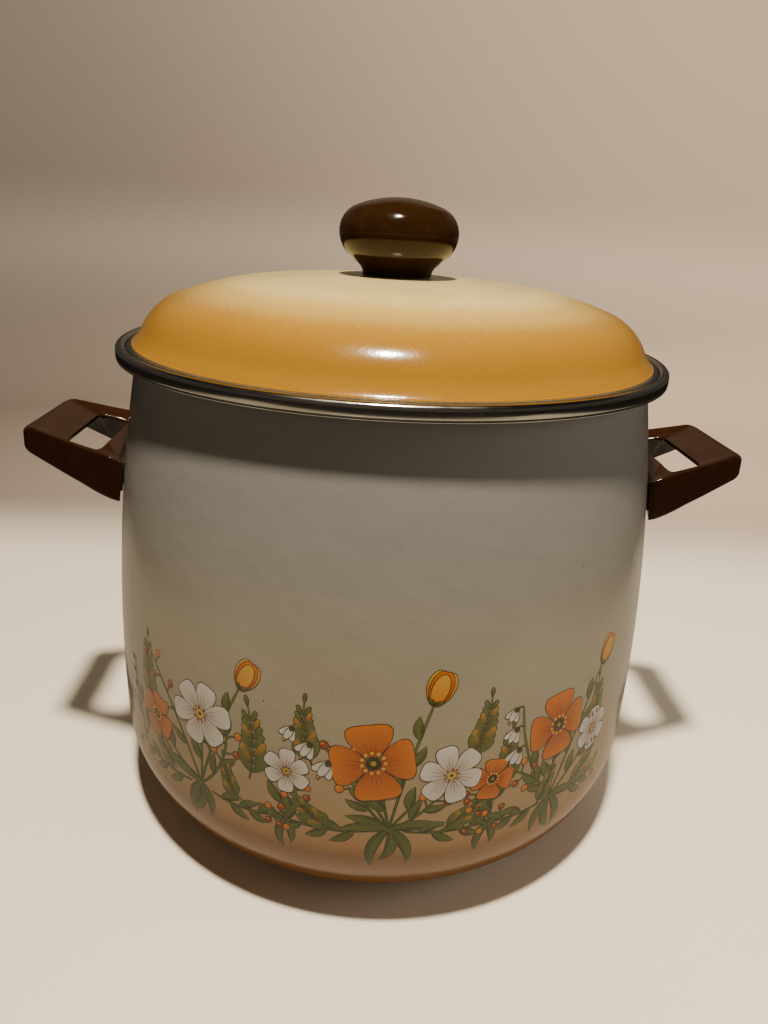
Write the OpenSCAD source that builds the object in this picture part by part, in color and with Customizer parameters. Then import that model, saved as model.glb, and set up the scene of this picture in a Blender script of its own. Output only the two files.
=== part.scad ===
// Enamelled stockpot with a domed lid, moulded loop handles and a steel rim.
// Origin: centre of the base's underside. +Z is up, the handles lie along X,
// and the front of the pot faces -Y. All lengths are in millimetres.

/* [Pot body] */
// Largest outside radius, at the belly
belly_r = 136.4; // [130:0.2:142]
// Height of the belly above the base
belly_z = 75; // [65:1:85]
// Radius of the long arc that the side follows
side_arc_r = 820; // [700:10:1000]
// Radius of the arc that turns the side into the base
heel_r = 54; // [48:1:58]
// Height of that arc's centre; less than its radius, so that it meets a flat base
heel_z = 52; // [46:1:56]
// Thickness of the enamelled sheet
sheet = 1.4; // [1:0.1:2]
// Height of the flange that the steel rim grips
flange_z = 231.4; // [225:0.2:236]
// Outside radius of the flange
flange_r = 127.4; // [126.6:0.1:128]
// Radius of the raised middle of the base
base_step_r = 78; // [60:1:88]
// Height of that step
base_step_h = 1.0; // [0.6:0.1:1.6]

/* [Steel rim of the pot] */
// Outside radius of the rolled rim
rim_r = 130; // [129.4:0.1:132]
// Height of the rolled rim
rim_h = 6.3; // [5.8:0.1:7]
// Inside radius of the upright part of the rim, which centres the lid
rim_in_r = 125.6; // [125.4:0.1:126]
// Thickness of the steel strip
strip = 0.8; // [0.6:0.1:0.9]

/* [Lid] */
// Outside radius of the enamelled hem
hem_r = 123; // [122:0.2:124]
// Height of the hem's lower edge above the base
hem_z = 235.6; // [235.5:0.1:236.5]
// Rise from the hem to the top of the crown
dome_h = 32.9; // [28:0.1:38]
// Radius of the flat crown arc
crown_arc_r = 744; // [600:2:900]
// Half angle that the crown arc covers
crown_a = 4.7; // [4:0.1:5.4]
// Radius of the arc between crown and shoulder
mid_arc_r = 161; // [140:1:180]
// Angle that it covers
mid_a = 15.3; // [14:0.1:16.4]
// Radius of the shoulder arc
shoulder_r = 26.9; // [24:0.1:29]
// Angle that it covers
shoulder_a = 55; // [52:0.5:57]
// Outside radius of the lid's steel ring
lid_ring_r = 125; // [124.4:0.1:125.2]

/* [Knob] */
// Largest radius of the head
knob_r = 28.1; // [26:0.1:30]
// Height of the knob
knob_h = 34.5; // [32:0.1:37]
// Height of the widest line above the knob's foot
knob_wide_h = 19; // [17:0.1:21]
// Radius of the foot
knob_foot_r = 16.4; // [15:0.1:18]

/* [Handles] */
// Reach of the handle's nose from the pot's axis
handle_reach = 173.7; // [170:0.1:180]
// Half width of the handle where it meets the pot
handle_root_w = 40.3; // [38:0.1:42]
// Half width at the nose, before its corners are rounded
handle_nose_w = 29; // [27:0.1:31]
// Height of the top face at 128 mm from the axis
handle_top_z = 184.9; // [180:0.1:188]
// Upward tilt of the top face, in degrees
handle_top_a = 13.9; // [12:0.1:15]
// Upward tilt of the underside, in degrees
handle_under_a = 26.7; // [25:0.1:28]
// Distance from the axis to the near side of the finger opening
grip_gap_in = 136; // [135.6:0.1:137]
// Distance from the axis to its far side
grip_gap_out = 150.5; // [149:0.1:152]
// Half length of the finger opening
grip_gap_w = 28; // [26:0.1:28.4]
// Gap between a handle and the wall, taken up by the bracket
stand_off = 1.5; // [1.3:0.1:1.8]

/* [Hidden] */

$fn = 96;
ARC_FN = 360;        // segments on the long, flat arcs
SPIN_FN = 128;       // segments round the pot's axis
FAR = 220;           // beyond every piece, for cutting regions
FIT = 0.05;          // clearance between pieces of one body

// Pot: the long side arc and the heel arc that touches it from inside
side_c = [belly_r - side_arc_r, belly_z];
heel_c = [side_c[0] + sqrt(pow(side_arc_r - heel_r, 2) - pow(heel_z - belly_z, 2)), heel_z];
heel_dir = (heel_c - side_c) / norm(heel_c - side_c);
flange_top = flange_z + sheet;

// Rim of the pot
rim_z = flange_z - strip - 0.6;
rim_top = rim_z + rim_h;
ledge_top = flange_top + strip + FIT;
lip_r = 123.8;       // inner edge of the strip's lower lip
lid_gap = 0.3;       // between the lid's ring and the ledge it rests over
ledge_in = 120.8;    // inside radius of the ledge
lid_ring_in = 120.9; // inside radius of the lid's ring

// Lid: three arcs, each touching the next from inside
lid_top = hem_z + dome_h;
crown_c = [0, lid_top - crown_arc_r];
mid_c = crown_c + (crown_arc_r - mid_arc_r) * heading(crown_a);
shoulder_c = mid_c + (mid_arc_r - shoulder_r) * heading(crown_a + mid_a);
dome_a = crown_a + mid_a + shoulder_a;

// Knob and its fastening
knob_z = lid_top + 0.1;
wide_z = knob_z + knob_wide_h;
knob_top = knob_z + knob_h;
knob_shoulder_r = 12.5;
knob_under_r = 13.6;
knob_crease_h = 7.8; // foot to the line where the head meets the neck
knob_crown_x = knob_r - knob_shoulder_r;
knob_rise = knob_top - wide_z;
knob_crown_r = (pow(knob_crown_x, 2) + pow(knob_rise, 2) - pow(knob_shoulder_r, 2))
             / (2 * (knob_rise - knob_shoulder_r));
gasket_r = 12;
gasket_t = 1.0;
insert_r = 4.5;
insert_h = 15;
insert_z = lid_top + gasket_t + 1.2;
m5_r = 2.45;         // outside radius of the knob's screw
lid_hole_r = 3;
m5_reach = 19;       // how far it goes up past its head
washer_t = 1.2;
under_lid = lid_top - sheet - 0.1;

// Handles
top_slope = tan(handle_top_a);
under_slope = tan(handle_under_a);
nose_r = 6;
nose_x = handle_reach - nose_r;
nose_z = handle_top_z + top_slope * (nose_x - 128) - nose_r / cos(handle_top_a);
nose_under = [nose_x, nose_z] - nose_r * heading(-handle_under_a);
heel_x = 134;        // where the underside turns towards the pot
heel_under_z = nose_under[1] - under_slope * (nose_under[0] - heel_x);
root_x = 116;        // inside the wall, so that the wall's own curve ends the handle
taper = (handle_root_w - handle_nose_w) / (handle_reach - 123.5);
ear_z = 173;         // underside of the bracket's ears
ear_t = 2;
ear_y = [26, 36];    // nearer and farther edge of an ear
strap_t = 1.2;
screw_x = 133;
screw_y = 31;
m4_r = 1.95;
screw_seat_z = 168.2;

// Direction that leans the given angle away from straight up, towards +X
function heading(a) = [sin(a), cos(a)];

// Points along an arc round c, between two such angles
function arc(c, r, from, to, steps) =
    [for (k = [0:steps]) c + r * heading(from + (to - from) * k / steps)];

// Outside radius of the pot's side at a height
function side_radius(z) = side_c[0] + sqrt(pow(side_arc_r, 2) - pow(z - belly_z, 2));

// Half width of a handle at a distance from the axis
function handle_half(x) = handle_root_w - taper * (x - 123.5);

// The pot's side as a solid of revolution, grown outwards by g, over the height of the handles
module side_solid(g) {
    low = 140;
    high = 210;
    rotate_extrude($fn = SPIN_FN) intersection() {
        translate(side_c) circle(r = side_arc_r + g, $fn = ARC_FN);
        translate([0, low]) square([FAR, high - low]);
    }
}

// The enamelled pot: stepped base, rounded heel, bellied wall and top flange
module pot_shell() {
    neck_r = side_radius(flange_z);
    heel_a = acos(heel_dir[1]);
    base_a = 180 - acos(heel_z / heel_r);
    base_in_a = 180 - acos((heel_z - sheet) / (heel_r - sheet));
    top_a = acos((flange_z - belly_z) / side_arc_r);
    top_in_a = acos((flange_z - belly_z) / (side_arc_r - sheet));
    step_in_r = base_step_r - 2;
    outside = concat(
        [[0, base_step_h], [step_in_r, base_step_h], [base_step_r, 0]],
        arc(heel_c, heel_r, base_a, heel_a, 24),
        arc(side_c, side_arc_r, heel_a, top_a, 16),
        [[flange_r, flange_z], [flange_r, flange_top]]);
    inside = concat(
        arc([neck_r, flange_z], sheet, 0, -90, 6),
        arc(side_c, side_arc_r - sheet, top_in_a, heel_a, 16),
        arc(heel_c, heel_r - sheet, heel_a, base_in_a, 24),
        [[base_step_r, sheet], [step_in_r, sheet + base_step_h], [0, sheet + base_step_h]]);
    color("#d9d2bd") rotate_extrude($fn = SPIN_FN) polygon(concat(outside, inside));
}

// A rectangle from corner a to corner b whose corners are rounded by r
module round_box(a, b, r) {
    translate([a[0] + r, a[1]]) square([b[0] - a[0] - 2 * r, b[1] - a[1]]);
    translate([a[0], a[1] + r]) square([b[0] - a[0], b[1] - a[1] - 2 * r]);
    for (x = [a[0] + r, b[0] - r], z = [a[1] + r, b[1] - r])
        translate([x, z]) circle(r = r);
}

// The steel strip rolled over the pot's flange: hollow bead, inner ledge and lower lip
module pot_rim_band() {
    soft = 2.1;      // radius of the bead's corners
    joint = 1.4;     // how far ledge and lip run into the bead
    lip_h = flange_z - FIT - rim_z;
    color("#b9b6ae") rotate_extrude($fn = SPIN_FN) difference() {
        union() {
            round_box([rim_in_r, rim_z], [rim_r, rim_top], soft);
            translate([ledge_in, flange_top + FIT]) square([rim_in_r + joint - ledge_in, strip]);
            translate([lip_r, rim_z]) square([rim_in_r + soft + joint - lip_r, lip_h]);
        }
        round_box([rim_in_r + strip, rim_z + strip], [rim_r - strip, rim_top - strip],
                  soft - strip);
        translate([120, flange_z - FIT]) square([flange_r + FIT - 120, sheet + 2 * FIT]);
    }
}

// The enamelled lid: crown, shoulder and a hem that flares outwards
module lid_shell() {
    hem_t = 0.7;
    mid_end = crown_a + mid_a;
    hole_a = asin(lid_hole_r / crown_arc_r);
    hole_in_a = asin(lid_hole_r / (crown_arc_r - sheet));
    outside = concat(
        arc(crown_c, crown_arc_r, hole_a, crown_a, 6),
        arc(mid_c, mid_arc_r, crown_a, mid_end, 8),
        arc(shoulder_c, shoulder_r, mid_end, dome_a, 16),
        [[hem_r, hem_z + hem_t], [hem_r, hem_z], [hem_r - sheet - 1, hem_z]]);
    inside = concat(
        arc(shoulder_c, shoulder_r - sheet, dome_a, mid_end, 16),
        arc(mid_c, mid_arc_r - sheet, mid_end, crown_a, 8),
        arc(crown_c, crown_arc_r - sheet, crown_a, hole_in_a, 6));
    color("#e0b25c") rotate_extrude($fn = SPIN_FN) polygon(concat(outside, inside));
}

// The steel ring under the hem, by which the lid sits in the pot's rim
module lid_rim_band() {
    z = ledge_top + lid_gap;
    half = (hem_z - z) / 2;
    color("#b9b6ae") rotate_extrude($fn = SPIN_FN) {
        translate([lid_ring_in, z]) square([lid_ring_r - half - lid_ring_in, 2 * half]);
        translate([lid_ring_r - half, z + half]) circle(r = half);
    }
}

// The moulded knob: mushroom head on a waisted neck, hollow for the gasket and the insert
module knob() {
    waist_r = 6;
    waist_a = 44;    // angle at which the waist turns into a cone
    crown = [0, knob_top - knob_crown_r];
    crown_edge_a = atan2(knob_crown_x, wide_z - crown[1]);
    crease_a = 90 + asin((knob_wide_h - knob_crease_h) / knob_under_r);
    bore_r = insert_r + FIT;
    recess_r = gasket_r + 0.2;
    recess_z = lid_top + gasket_t;
    color("#3a1c0e") rotate_extrude($fn = SPIN_FN) polygon(concat(
        arc(crown, knob_crown_r, 0, crown_edge_a, 8),
        arc([knob_crown_x, wide_z], knob_shoulder_r, crown_edge_a, 90, 14),
        arc([knob_r - knob_under_r, wide_z], knob_under_r, 90, crease_a, 12),
        arc([knob_foot_r + waist_r, knob_z], waist_r, waist_a - 90, -90, 8),
        [[recess_r, knob_z], [recess_r, recess_z], [bore_r, recess_z],
         [bore_r, insert_z + insert_h], [0, insert_z + insert_h]]));
}

// Flat ring with its lower face at z
module ring(inner, outer, z, t) {
    translate([0, 0, z]) difference() {
        cylinder(h = t, r = outer);
        translate([0, 0, -1]) cylinder(h = t + 2, r = inner);
    }
}

// Heat-proof gasket between the knob and the lid
module knob_gasket() {
    color("#8a5a3c") ring(lid_hole_r, gasket_r, lid_top, gasket_t - FIT);
}

// Threaded brass bush moulded into the knob
module knob_insert() {
    color("#b5893c") ring(m5_r + FIT, insert_r, insert_z, insert_h - FIT);
}

// Broad washer that spreads the knob's pull under the lid
module knob_washer() {
    color("#9a9a98") ring(m5_r + 0.3, 9, under_lid - washer_t, washer_t);
}

// Spring washer, split on one side
module knob_lock_washer() {
    color("#83837f") difference() {
        ring(m5_r + 0.3, 4.6, under_lid - 2 * washer_t - FIT, washer_t);
        translate([0, -0.5, under_lid - 3 * washer_t]) cube([6, 1, 3 * washer_t]);
    }
}

// Slotted pan-head screw pointing up, with the head's upper face at z
module screw(r, head_r, head_h, length, z) {
    translate([0, 0, z - head_h]) difference() {
        cylinder(h = head_h, r = head_r);
        translate([-head_r - 1, -0.5, -1]) cube([2 * head_r + 2, 1, 2]);
    }
    translate([0, 0, z]) cylinder(h = length, r = r);
}

// The knob's screw, driven from under the lid
module knob_screw() {
    color("#a8a8a4") screw(m5_r, 4.7, 3, m5_reach, under_lid - 2 * washer_t - 2 * FIT);
}

// Side view of a handle: flat top, rounded nose, underside rising to the nose
module handle_profile() {
    polygon(concat(
        [[root_x, heel_under_z - 2.4], [root_x, handle_top_z + top_slope * (root_x - 128)]],
        arc([nose_x, nose_z], nose_r, -handle_top_a, 180 - handle_under_a, 16),
        [[heel_x, heel_under_z]]));
}

// Top view of a handle: it tapers towards the nose, whose corners are rounded
module handle_plan() {
    corner = 5;
    taper_a = atan(taper);
    x = handle_reach - corner;
    y = handle_half(x) - corner / cos(taper_a);
    polygon(concat(
        [[root_x, handle_half(root_x)]],
        arc([x, y], corner, taper_a, 90, 6),
        arc([x, -y], corner, 90, 180 - taper_a, 6),
        [[root_x, -handle_half(root_x)]]));
}

// The hollow under the grip that the fingertips close into
module grip_hollow() {
    lip = 3.2;
    floor_z = handle_top_z + top_slope * (grip_gap_out - 128) - lip;
    polygon([[grip_gap_out - 1, 150], [grip_gap_out - 1, floor_z], [163, floor_z - 2.6],
             [166, nose_z - nose_r + 0.6], [166, 150]]);
}

// One loop handle, on the +X side
module handle_right() {
    difference() {
        intersection() {
            rotate([90, 0, 0]) linear_extrude(height = 100, center = true) handle_profile();
            translate([0, 0, 150]) linear_extrude(height = 60) handle_plan();
        }
        side_solid(stand_off);
        translate([0, 0, 140]) linear_extrude(height = 80)
            round_box([grip_gap_in, -grip_gap_w], [grip_gap_out, grip_gap_w], 5);
        rotate([90, 0, 0]) linear_extrude(height = 2 * grip_gap_w - 2, center = true)
            grip_hollow();
        for (s = [-1, 1]) {
            translate([root_x, s > 0 ? ear_y[0] - 0.3 : -ear_y[1] - 0.3, ear_z - 0.2])
                cube([screw_x + 2.8 - root_x, ear_y[1] - ear_y[0] + 0.6, ear_t + 0.4]);
            translate([screw_x, s * screw_y, 150])
                cylinder(h = screw_seat_z - 150, r = 3.7);
            translate([screw_x, s * screw_y, 150]) cylinder(h = 31, r = m4_r + 0.15);
        }
    }
}

// Steel strap spot-welded to the wall, with two drilled ears for the screws
module bracket_right() {
    intersection() {
        difference() {
            side_solid(strap_t);
            side_solid(0);
        }
        translate([100, -ear_y[1], 167]) cube([40, 2 * ear_y[1], 14]);
    }
    for (s = [-1, 1]) difference() {
        translate([110, s > 0 ? ear_y[0] : -ear_y[1], ear_z])
            cube([screw_x + 2.4 - 110, ear_y[1] - ear_y[0], ear_t]);
        side_solid(strap_t / 2);
        translate([screw_x, s * screw_y, 150]) cylinder(h = 40, r = m4_r + FIT);
    }
}

// The two washers of one handle
module washers_right() {
    for (s = [-1, 1]) translate([screw_x, s * screw_y, 0])
        ring(m4_r + 0.15, 3.5, screw_seat_z - 0.8 - FIT, 0.8);
}

// The two screws of one handle
module screws_right() {
    for (s = [-1, 1]) translate([screw_x, s * screw_y, 0])
        screw(m4_r, 3.3, 2.4, 12, screw_seat_z - 0.8 - 2 * FIT);
}

// Places a piece of the +X handle, or its twin on the -X side
module on_side(left) {
    rotate([0, 0, left ? 180 : 0]) children();
}

module left_handle() { color("#3a1c0e") on_side(true) handle_right(); }
module right_handle() { color("#3a1c0e") on_side(false) handle_right(); }
module left_handle_bracket() { color("#8f8f8b") on_side(true) bracket_right(); }
module right_handle_bracket() { color("#8f8f8b") on_side(false) bracket_right(); }
module left_handle_washers() { color("#9a9a98") on_side(true) washers_right(); }
module right_handle_washers() { color("#9a9a98") on_side(false) washers_right(); }
module left_handle_screws() { color("#a8a8a4") on_side(true) screws_right(); }
module right_handle_screws() { color("#a8a8a4") on_side(false) screws_right(); }

pot_shell();
pot_rim_band();
left_handle_bracket();
right_handle_bracket();
left_handle();
right_handle();
left_handle_washers();
right_handle_washers();
left_handle_screws();
right_handle_screws();
lid_shell();
lid_rim_band();
knob_gasket();
knob();
knob_insert();
knob_washer();
knob_lock_washer();
knob_screw();
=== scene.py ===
# %% [markdown]
# # An enamelled stockpot, piece by piece
# The pot's construction is already fixed: a CAD model gives every piece at its real size, and
# this script only dresses it. It loads that frame, measures it, and keeps the box of the whole
# object so that the dressed pot can be compared with it at the end. All lengths are metres.

# %% Load the frame
import math
import bpy
import bmesh
import numpy as np
from mathutils import Matrix, Vector


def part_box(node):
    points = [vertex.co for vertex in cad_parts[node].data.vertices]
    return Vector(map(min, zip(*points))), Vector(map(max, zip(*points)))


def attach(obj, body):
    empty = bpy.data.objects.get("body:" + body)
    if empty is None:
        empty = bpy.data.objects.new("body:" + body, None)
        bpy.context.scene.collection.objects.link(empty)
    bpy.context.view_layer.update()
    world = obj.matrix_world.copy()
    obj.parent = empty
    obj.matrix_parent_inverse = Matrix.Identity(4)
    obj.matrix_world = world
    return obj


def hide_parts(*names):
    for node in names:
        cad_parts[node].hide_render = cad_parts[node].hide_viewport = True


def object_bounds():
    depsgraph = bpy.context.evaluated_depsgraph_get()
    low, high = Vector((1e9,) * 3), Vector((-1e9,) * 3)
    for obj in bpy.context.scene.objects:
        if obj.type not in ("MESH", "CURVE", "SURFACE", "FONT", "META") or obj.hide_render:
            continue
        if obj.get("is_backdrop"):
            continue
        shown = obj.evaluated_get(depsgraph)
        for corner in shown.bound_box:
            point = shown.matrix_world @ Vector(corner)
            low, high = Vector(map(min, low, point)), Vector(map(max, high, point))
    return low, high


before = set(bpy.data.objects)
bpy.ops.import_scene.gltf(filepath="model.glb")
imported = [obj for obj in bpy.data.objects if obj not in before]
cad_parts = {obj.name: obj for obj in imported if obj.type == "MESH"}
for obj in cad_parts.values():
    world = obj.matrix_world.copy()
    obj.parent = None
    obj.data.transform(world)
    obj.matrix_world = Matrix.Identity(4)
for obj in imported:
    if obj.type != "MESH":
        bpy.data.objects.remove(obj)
cad_low, cad_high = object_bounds()
MM = 0.001
print("nodes:", ", ".join(sorted(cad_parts)))
print("CAD box, mm:", [round(v / MM, 1) for v in (cad_high - cad_low)])

# %% [markdown]
# ## Camera
# A phone's main camera stands a forearm's length away and looks down on the pot. A camera can be
# aimed with a Track To constraint, but here it is also rolled a few degrees, so its three axes
# are worked out and written into its matrix: backwards, up and to the right.

# %% Place the camera
CAMERA_AT = Vector((-0.0194, -0.3829, 0.2958))
CAMERA_TURN = math.radians(2.9)
CAMERA_DOWN = math.radians(21.2)
CAMERA_ROLL = math.radians(3.1)
FOCAL_PIXELS = 769
LONG_SIDE_PIXELS = 1024
SENSOR = 36
NEAREST = 0.01


def add_camera():
    """Axes in words: look along the turn and below the horizon, then roll about that line."""
    look = Vector((math.sin(CAMERA_TURN) * math.cos(CAMERA_DOWN),
                   math.cos(CAMERA_TURN) * math.cos(CAMERA_DOWN),
                   -math.sin(CAMERA_DOWN)))
    level = Vector((math.cos(CAMERA_TURN), -math.sin(CAMERA_TURN), 0))
    steep = level.cross(look)
    right = math.cos(CAMERA_ROLL) * level + math.sin(CAMERA_ROLL) * steep
    up = math.cos(CAMERA_ROLL) * steep - math.sin(CAMERA_ROLL) * level
    camera = bpy.data.objects.new("camera", bpy.data.cameras.new("camera"))
    bpy.context.scene.collection.objects.link(camera)
    turn = Matrix((right, up, -look)).transposed().to_4x4()
    camera.matrix_world = Matrix.Translation(CAMERA_AT) @ turn
    camera.data.sensor_width = SENSOR
    camera.data.lens = SENSOR * FOCAL_PIXELS / LONG_SIDE_PIXELS
    camera.data.clip_start = NEAREST
    bpy.context.scene.camera = camera
    return camera


camera = add_camera()
print("lens, mm:", round(camera.data.lens, 2))

# %% [markdown]
# ## Meshes from arrays
# Most of this pot is sheet metal or a moulding that was turned about one axis. Such a piece could
# be spun from a curve, or built from a subdivided cylinder. Here its outline is a list of points
# made of arcs, as a pattern maker draws it, and one array holds the whole turned grid: row by row
# round the axis, column by column along the outline. The same helper closes any grid.

# %% Helpers for outlines
SAME_POINT = 1e-7


def arc(centre, radius, start, end, count):
    """Points at centre + radius * (sin a, cos a), with a in degrees away from straight up."""
    a = np.radians(np.linspace(start, end, count))
    return np.column_stack([centre[0] + radius * np.sin(a), centre[1] + radius * np.cos(a)])


def heading(degrees):
    """Unit step that leans the given angle away from straight up."""
    a = math.radians(degrees)
    return np.array([math.sin(a), math.cos(a)])


def joined(*parts):
    """Stretches of an outline, one after another, without the points that they share."""
    line = np.vstack([np.atleast_2d(p) for p in parts])
    step = np.linalg.norm(np.diff(line, axis=0), axis=1)
    return line[np.concatenate([[True], step > SAME_POINT])]


# %% Helpers for grids and meshes
def grid_faces(rows, columns, wrap_rows, wrap_columns):
    """Corner numbers of the four-sided faces of a grid, closed along either way if asked."""
    r = np.arange(rows if wrap_rows else rows - 1)
    c = np.arange(columns if wrap_columns else columns - 1)
    r, c = np.meshgrid(r, c, indexing="ij")
    r2 = (r + 1) % rows
    c2 = (c + 1) % columns
    corners = [r * columns + c, r2 * columns + c, r2 * columns + c2, r * columns + c2]
    return np.stack(corners, axis=-1).reshape(-1, 4)


def shown(mesh, sharp):
    """The mesh as an object of its own name in the scene, smooth up to the sharp angle."""
    mesh.shade_smooth()
    mesh.set_sharp_from_angle(angle=math.radians(sharp))
    piece = bpy.data.objects.new(mesh.name, mesh)
    bpy.context.scene.collection.objects.link(piece)
    print(piece.name, "faces:", len(mesh.polygons))
    return piece


def face_places(mesh):
    """Middle and normal of every face, as two arrays of three columns."""
    arrays = []
    for what in ("center", "normal"):
        values = np.empty(len(mesh.polygons) * 3)
        mesh.polygons.foreach_get(what, values)
        arrays.append(values.reshape(-1, 3))
    return arrays


def mesh_piece(name, points, faces, sharp=35):
    """A mesh object from arrays: doubles merged, faces outward, smooth up to the sharp angle."""
    mesh = bpy.data.meshes.new(name)
    mesh.from_pydata(points.reshape(-1, 3).tolist(), [], faces.tolist())
    work = bmesh.new()
    work.from_mesh(mesh)
    bmesh.ops.remove_doubles(work, verts=work.verts, dist=SAME_POINT)
    bmesh.ops.dissolve_degenerate(work, edges=work.edges, dist=SAME_POINT)
    bmesh.ops.recalc_face_normals(work, faces=work.faces)
    work.to_mesh(mesh)
    work.free()
    return shown(mesh, sharp)


def turned(name, outline, rows=256, closed=True, sharp=35):
    """Outline (r, z) turned about Z: x = r cos t, y = r sin t, with t in equal steps."""
    t = np.linspace(0, 2 * np.pi, rows, endpoint=False)[:, None]
    r, z = outline[:, 0], outline[:, 1]
    points = np.stack([r * np.cos(t), r * np.sin(t), z + 0 * t], axis=-1)
    return mesh_piece(name, points, grid_faces(rows, len(outline), True, closed), sharp)


# %% [markdown]
# ## The enamelled pot
# The wall is one sheet, drawn deep from a disc: a long shallow arc down the side, a tight arc
# round the heel and a flat base with its middle pushed up. Both arcs touch where they meet, so
# the second centre lies on the line from the first centre to the meeting point. The inside is the
# same outline with every radius one sheet smaller.

# %% Turn the pot
SHEET = 1.4 * MM
PRINT_THICK = 0.2 * MM
BELLY_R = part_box("pot_shell")[1][1] - PRINT_THICK
BELLY_Z = 75 * MM
SIDE_ARC = 820 * MM
HEEL_ARC = 54 * MM
HEEL_Z = 52 * MM
BASE_STEP_R = 78 * MM
BASE_STEP_IN = np.array([0, 0.7, 1.3, 2, 2.7]) * MM
BASE_STEP_UP = np.array([0, 0.12, 0.5, 0.88, 1]) * MM
FLANGE_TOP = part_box("pot_shell")[1][2]
FLANGE_R = 127.4 * MM
side_centre = np.array([BELLY_R - SIDE_ARC, BELLY_Z])
heel_across = math.sqrt((SIDE_ARC - HEEL_ARC) ** 2 - (HEEL_Z - BELLY_Z) ** 2)
heel_centre = np.array([side_centre[0] + heel_across, HEEL_Z])
heel_angle = math.degrees(math.acos((HEEL_Z - BELLY_Z) / (SIDE_ARC - HEEL_ARC)))


def side_radius(z):
    """Outside radius of the pot's side at a height: the long arc's own equation."""
    return side_centre[0] + np.sqrt(SIDE_ARC ** 2 - (z - BELLY_Z) ** 2)


def wall_side(inset, top, count):
    """The side and heel, drawn in by the inset, from the given height down to the base."""
    top_angle = math.degrees(math.acos((top - BELLY_Z) / (SIDE_ARC - inset)))
    base_angle = 180 - math.degrees(math.acos((HEEL_Z - inset) / (HEEL_ARC - inset)))
    side = arc(side_centre, SIDE_ARC - inset, top_angle, heel_angle, count)
    heel = arc(heel_centre, HEEL_ARC - inset, heel_angle, base_angle, count // 2)
    return joined(side, heel)


def make_pot():
    """Down the outside, across the stepped base, and back up the inside to the flange."""
    flange = FLANGE_TOP - SHEET
    neck = side_radius(flange)
    step = np.column_stack([BASE_STEP_R - BASE_STEP_IN, BASE_STEP_UP])
    middle = [0, BASE_STEP_UP[-1]]
    flange_edge = arc((FLANGE_R - SHEET / 2, FLANGE_TOP - SHEET / 2), SHEET / 2, 0, 180, 8)
    outside = wall_side(0, flange, 96)
    inside = wall_side(SHEET, flange, 64)[::-1]
    bend = arc((neck, flange), SHEET, -90, 0, 8)
    base = joined(step, middle)
    outline = joined(flange_edge, outside, base, (base + [0, SHEET])[::-1], inside, bend)
    return turned("enamelled_pot", outline)


pot = make_pot()

# %% [markdown]
# ## The rolled steel rim
# A stainless strip is rolled over the pot's flange. It stands a little proud of the wall, has a
# soft upper edge, a fine lip below, and an inner ledge on which the lid's ring rests. It is also
# turned. The lip is modelled, because it catches the light of the table as one fine bright line.

# %% Turn the rim
RIM_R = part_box("pot_rim_band")[1][0]
RIM_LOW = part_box("pot_rim_band")[0][2]
RIM_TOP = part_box("pot_rim_band")[1][2]
STRIP = 0.8 * MM
PLAY = 0.05 * MM
LEDGE_TOP = FLANGE_TOP + STRIP + PLAY
LEDGE_IN = 120.8 * MM
RIM_ACROSS = 4.4 * MM
RIM_SOFT = 1.9 * MM
CROOK = 0.5 * MM
LIP_SOFT = 0.55 * MM
LIP_AT = 0.75 * MM
LIP_STEP = np.array([[0, 1.6], [-0.35, 1.15]]) * MM
UNDER_R, UNDER_STRIP, UNDER_NOTCH = 124 * MM, 0.6 * MM, 0.2 * MM
FLANGE_PLAY = 0.4 * MM


def make_rim():
    """Ledge, upright, rolled top, outer face and lip as arcs; the underside closes the loop."""
    upright = RIM_R - RIM_ACROSS
    round_flange = FLANGE_R + FLANGE_PLAY
    ledge = arc((LEDGE_IN + STRIP / 2, LEDGE_TOP - STRIP / 2), STRIP / 2, -180, 0, 8)
    inner_corner = arc((upright - CROOK, LEDGE_TOP + CROOK), CROOK, 180, 90, 6)
    inner_top = arc((upright + RIM_SOFT, RIM_TOP - RIM_SOFT), RIM_SOFT, -90, 0, 12)
    outer_top = arc((RIM_R - RIM_SOFT, RIM_TOP - RIM_SOFT), RIM_SOFT, 0, 90, 12)
    face = LIP_STEP + [RIM_R, RIM_LOW]
    lip = arc((RIM_R - LIP_AT, RIM_LOW + LIP_SOFT), LIP_SOFT, 60, 180, 8)
    under = [[UNDER_R, RIM_LOW], [UNDER_R - UNDER_NOTCH, RIM_LOW + UNDER_STRIP / 2],
             [UNDER_R, RIM_LOW + UNDER_STRIP], [round_flange, RIM_LOW + UNDER_STRIP],
             [round_flange, FLANGE_TOP + PLAY]]
    outline = joined(ledge, inner_corner, inner_top, outer_top, face, lip, under)
    return turned("rolled_rim", outline, rows=320, sharp=50)


rim = make_rim()

# %% [markdown]
# ## The lid
# The lid is pressed from the same sheet: an almost flat crown, a rounder stretch, a tight
# shoulder that turns steeply down, and a hem that flares a little outward. It could be a squashed
# sphere, but a press tool is drawn with arcs. Three of them, each with its centre on the last
# one's end line, give the one smooth curve that the reflections show.

# %% Turn the lid
HEM_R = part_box("lid_shell")[1][0]
HEM_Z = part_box("lid_shell")[0][2]
LID_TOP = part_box("lid_shell")[1][2]
CROWN_ARC, CROWN_A = 744 * MM, 4.7
MID_ARC, MID_A = 161 * MM, 15.3
SHOULDER_ARC, SHOULDER_A = 26.9 * MM, 43
HEM_A = 40
LID_HOLE = 3 * MM
HEM_HALF = 0.45 * MM
HEM_FOLD = 0.7 * MM
LID_RING_IN = 120.9 * MM
crown_centre = np.array([0, LID_TOP - CROWN_ARC])
mid_centre = crown_centre + (CROWN_ARC - MID_ARC) * heading(CROWN_A)
shoulder_centre = mid_centre + (MID_ARC - SHOULDER_ARC) * heading(CROWN_A + MID_A)
DOME_A = CROWN_A + MID_A + SHOULDER_A


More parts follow.
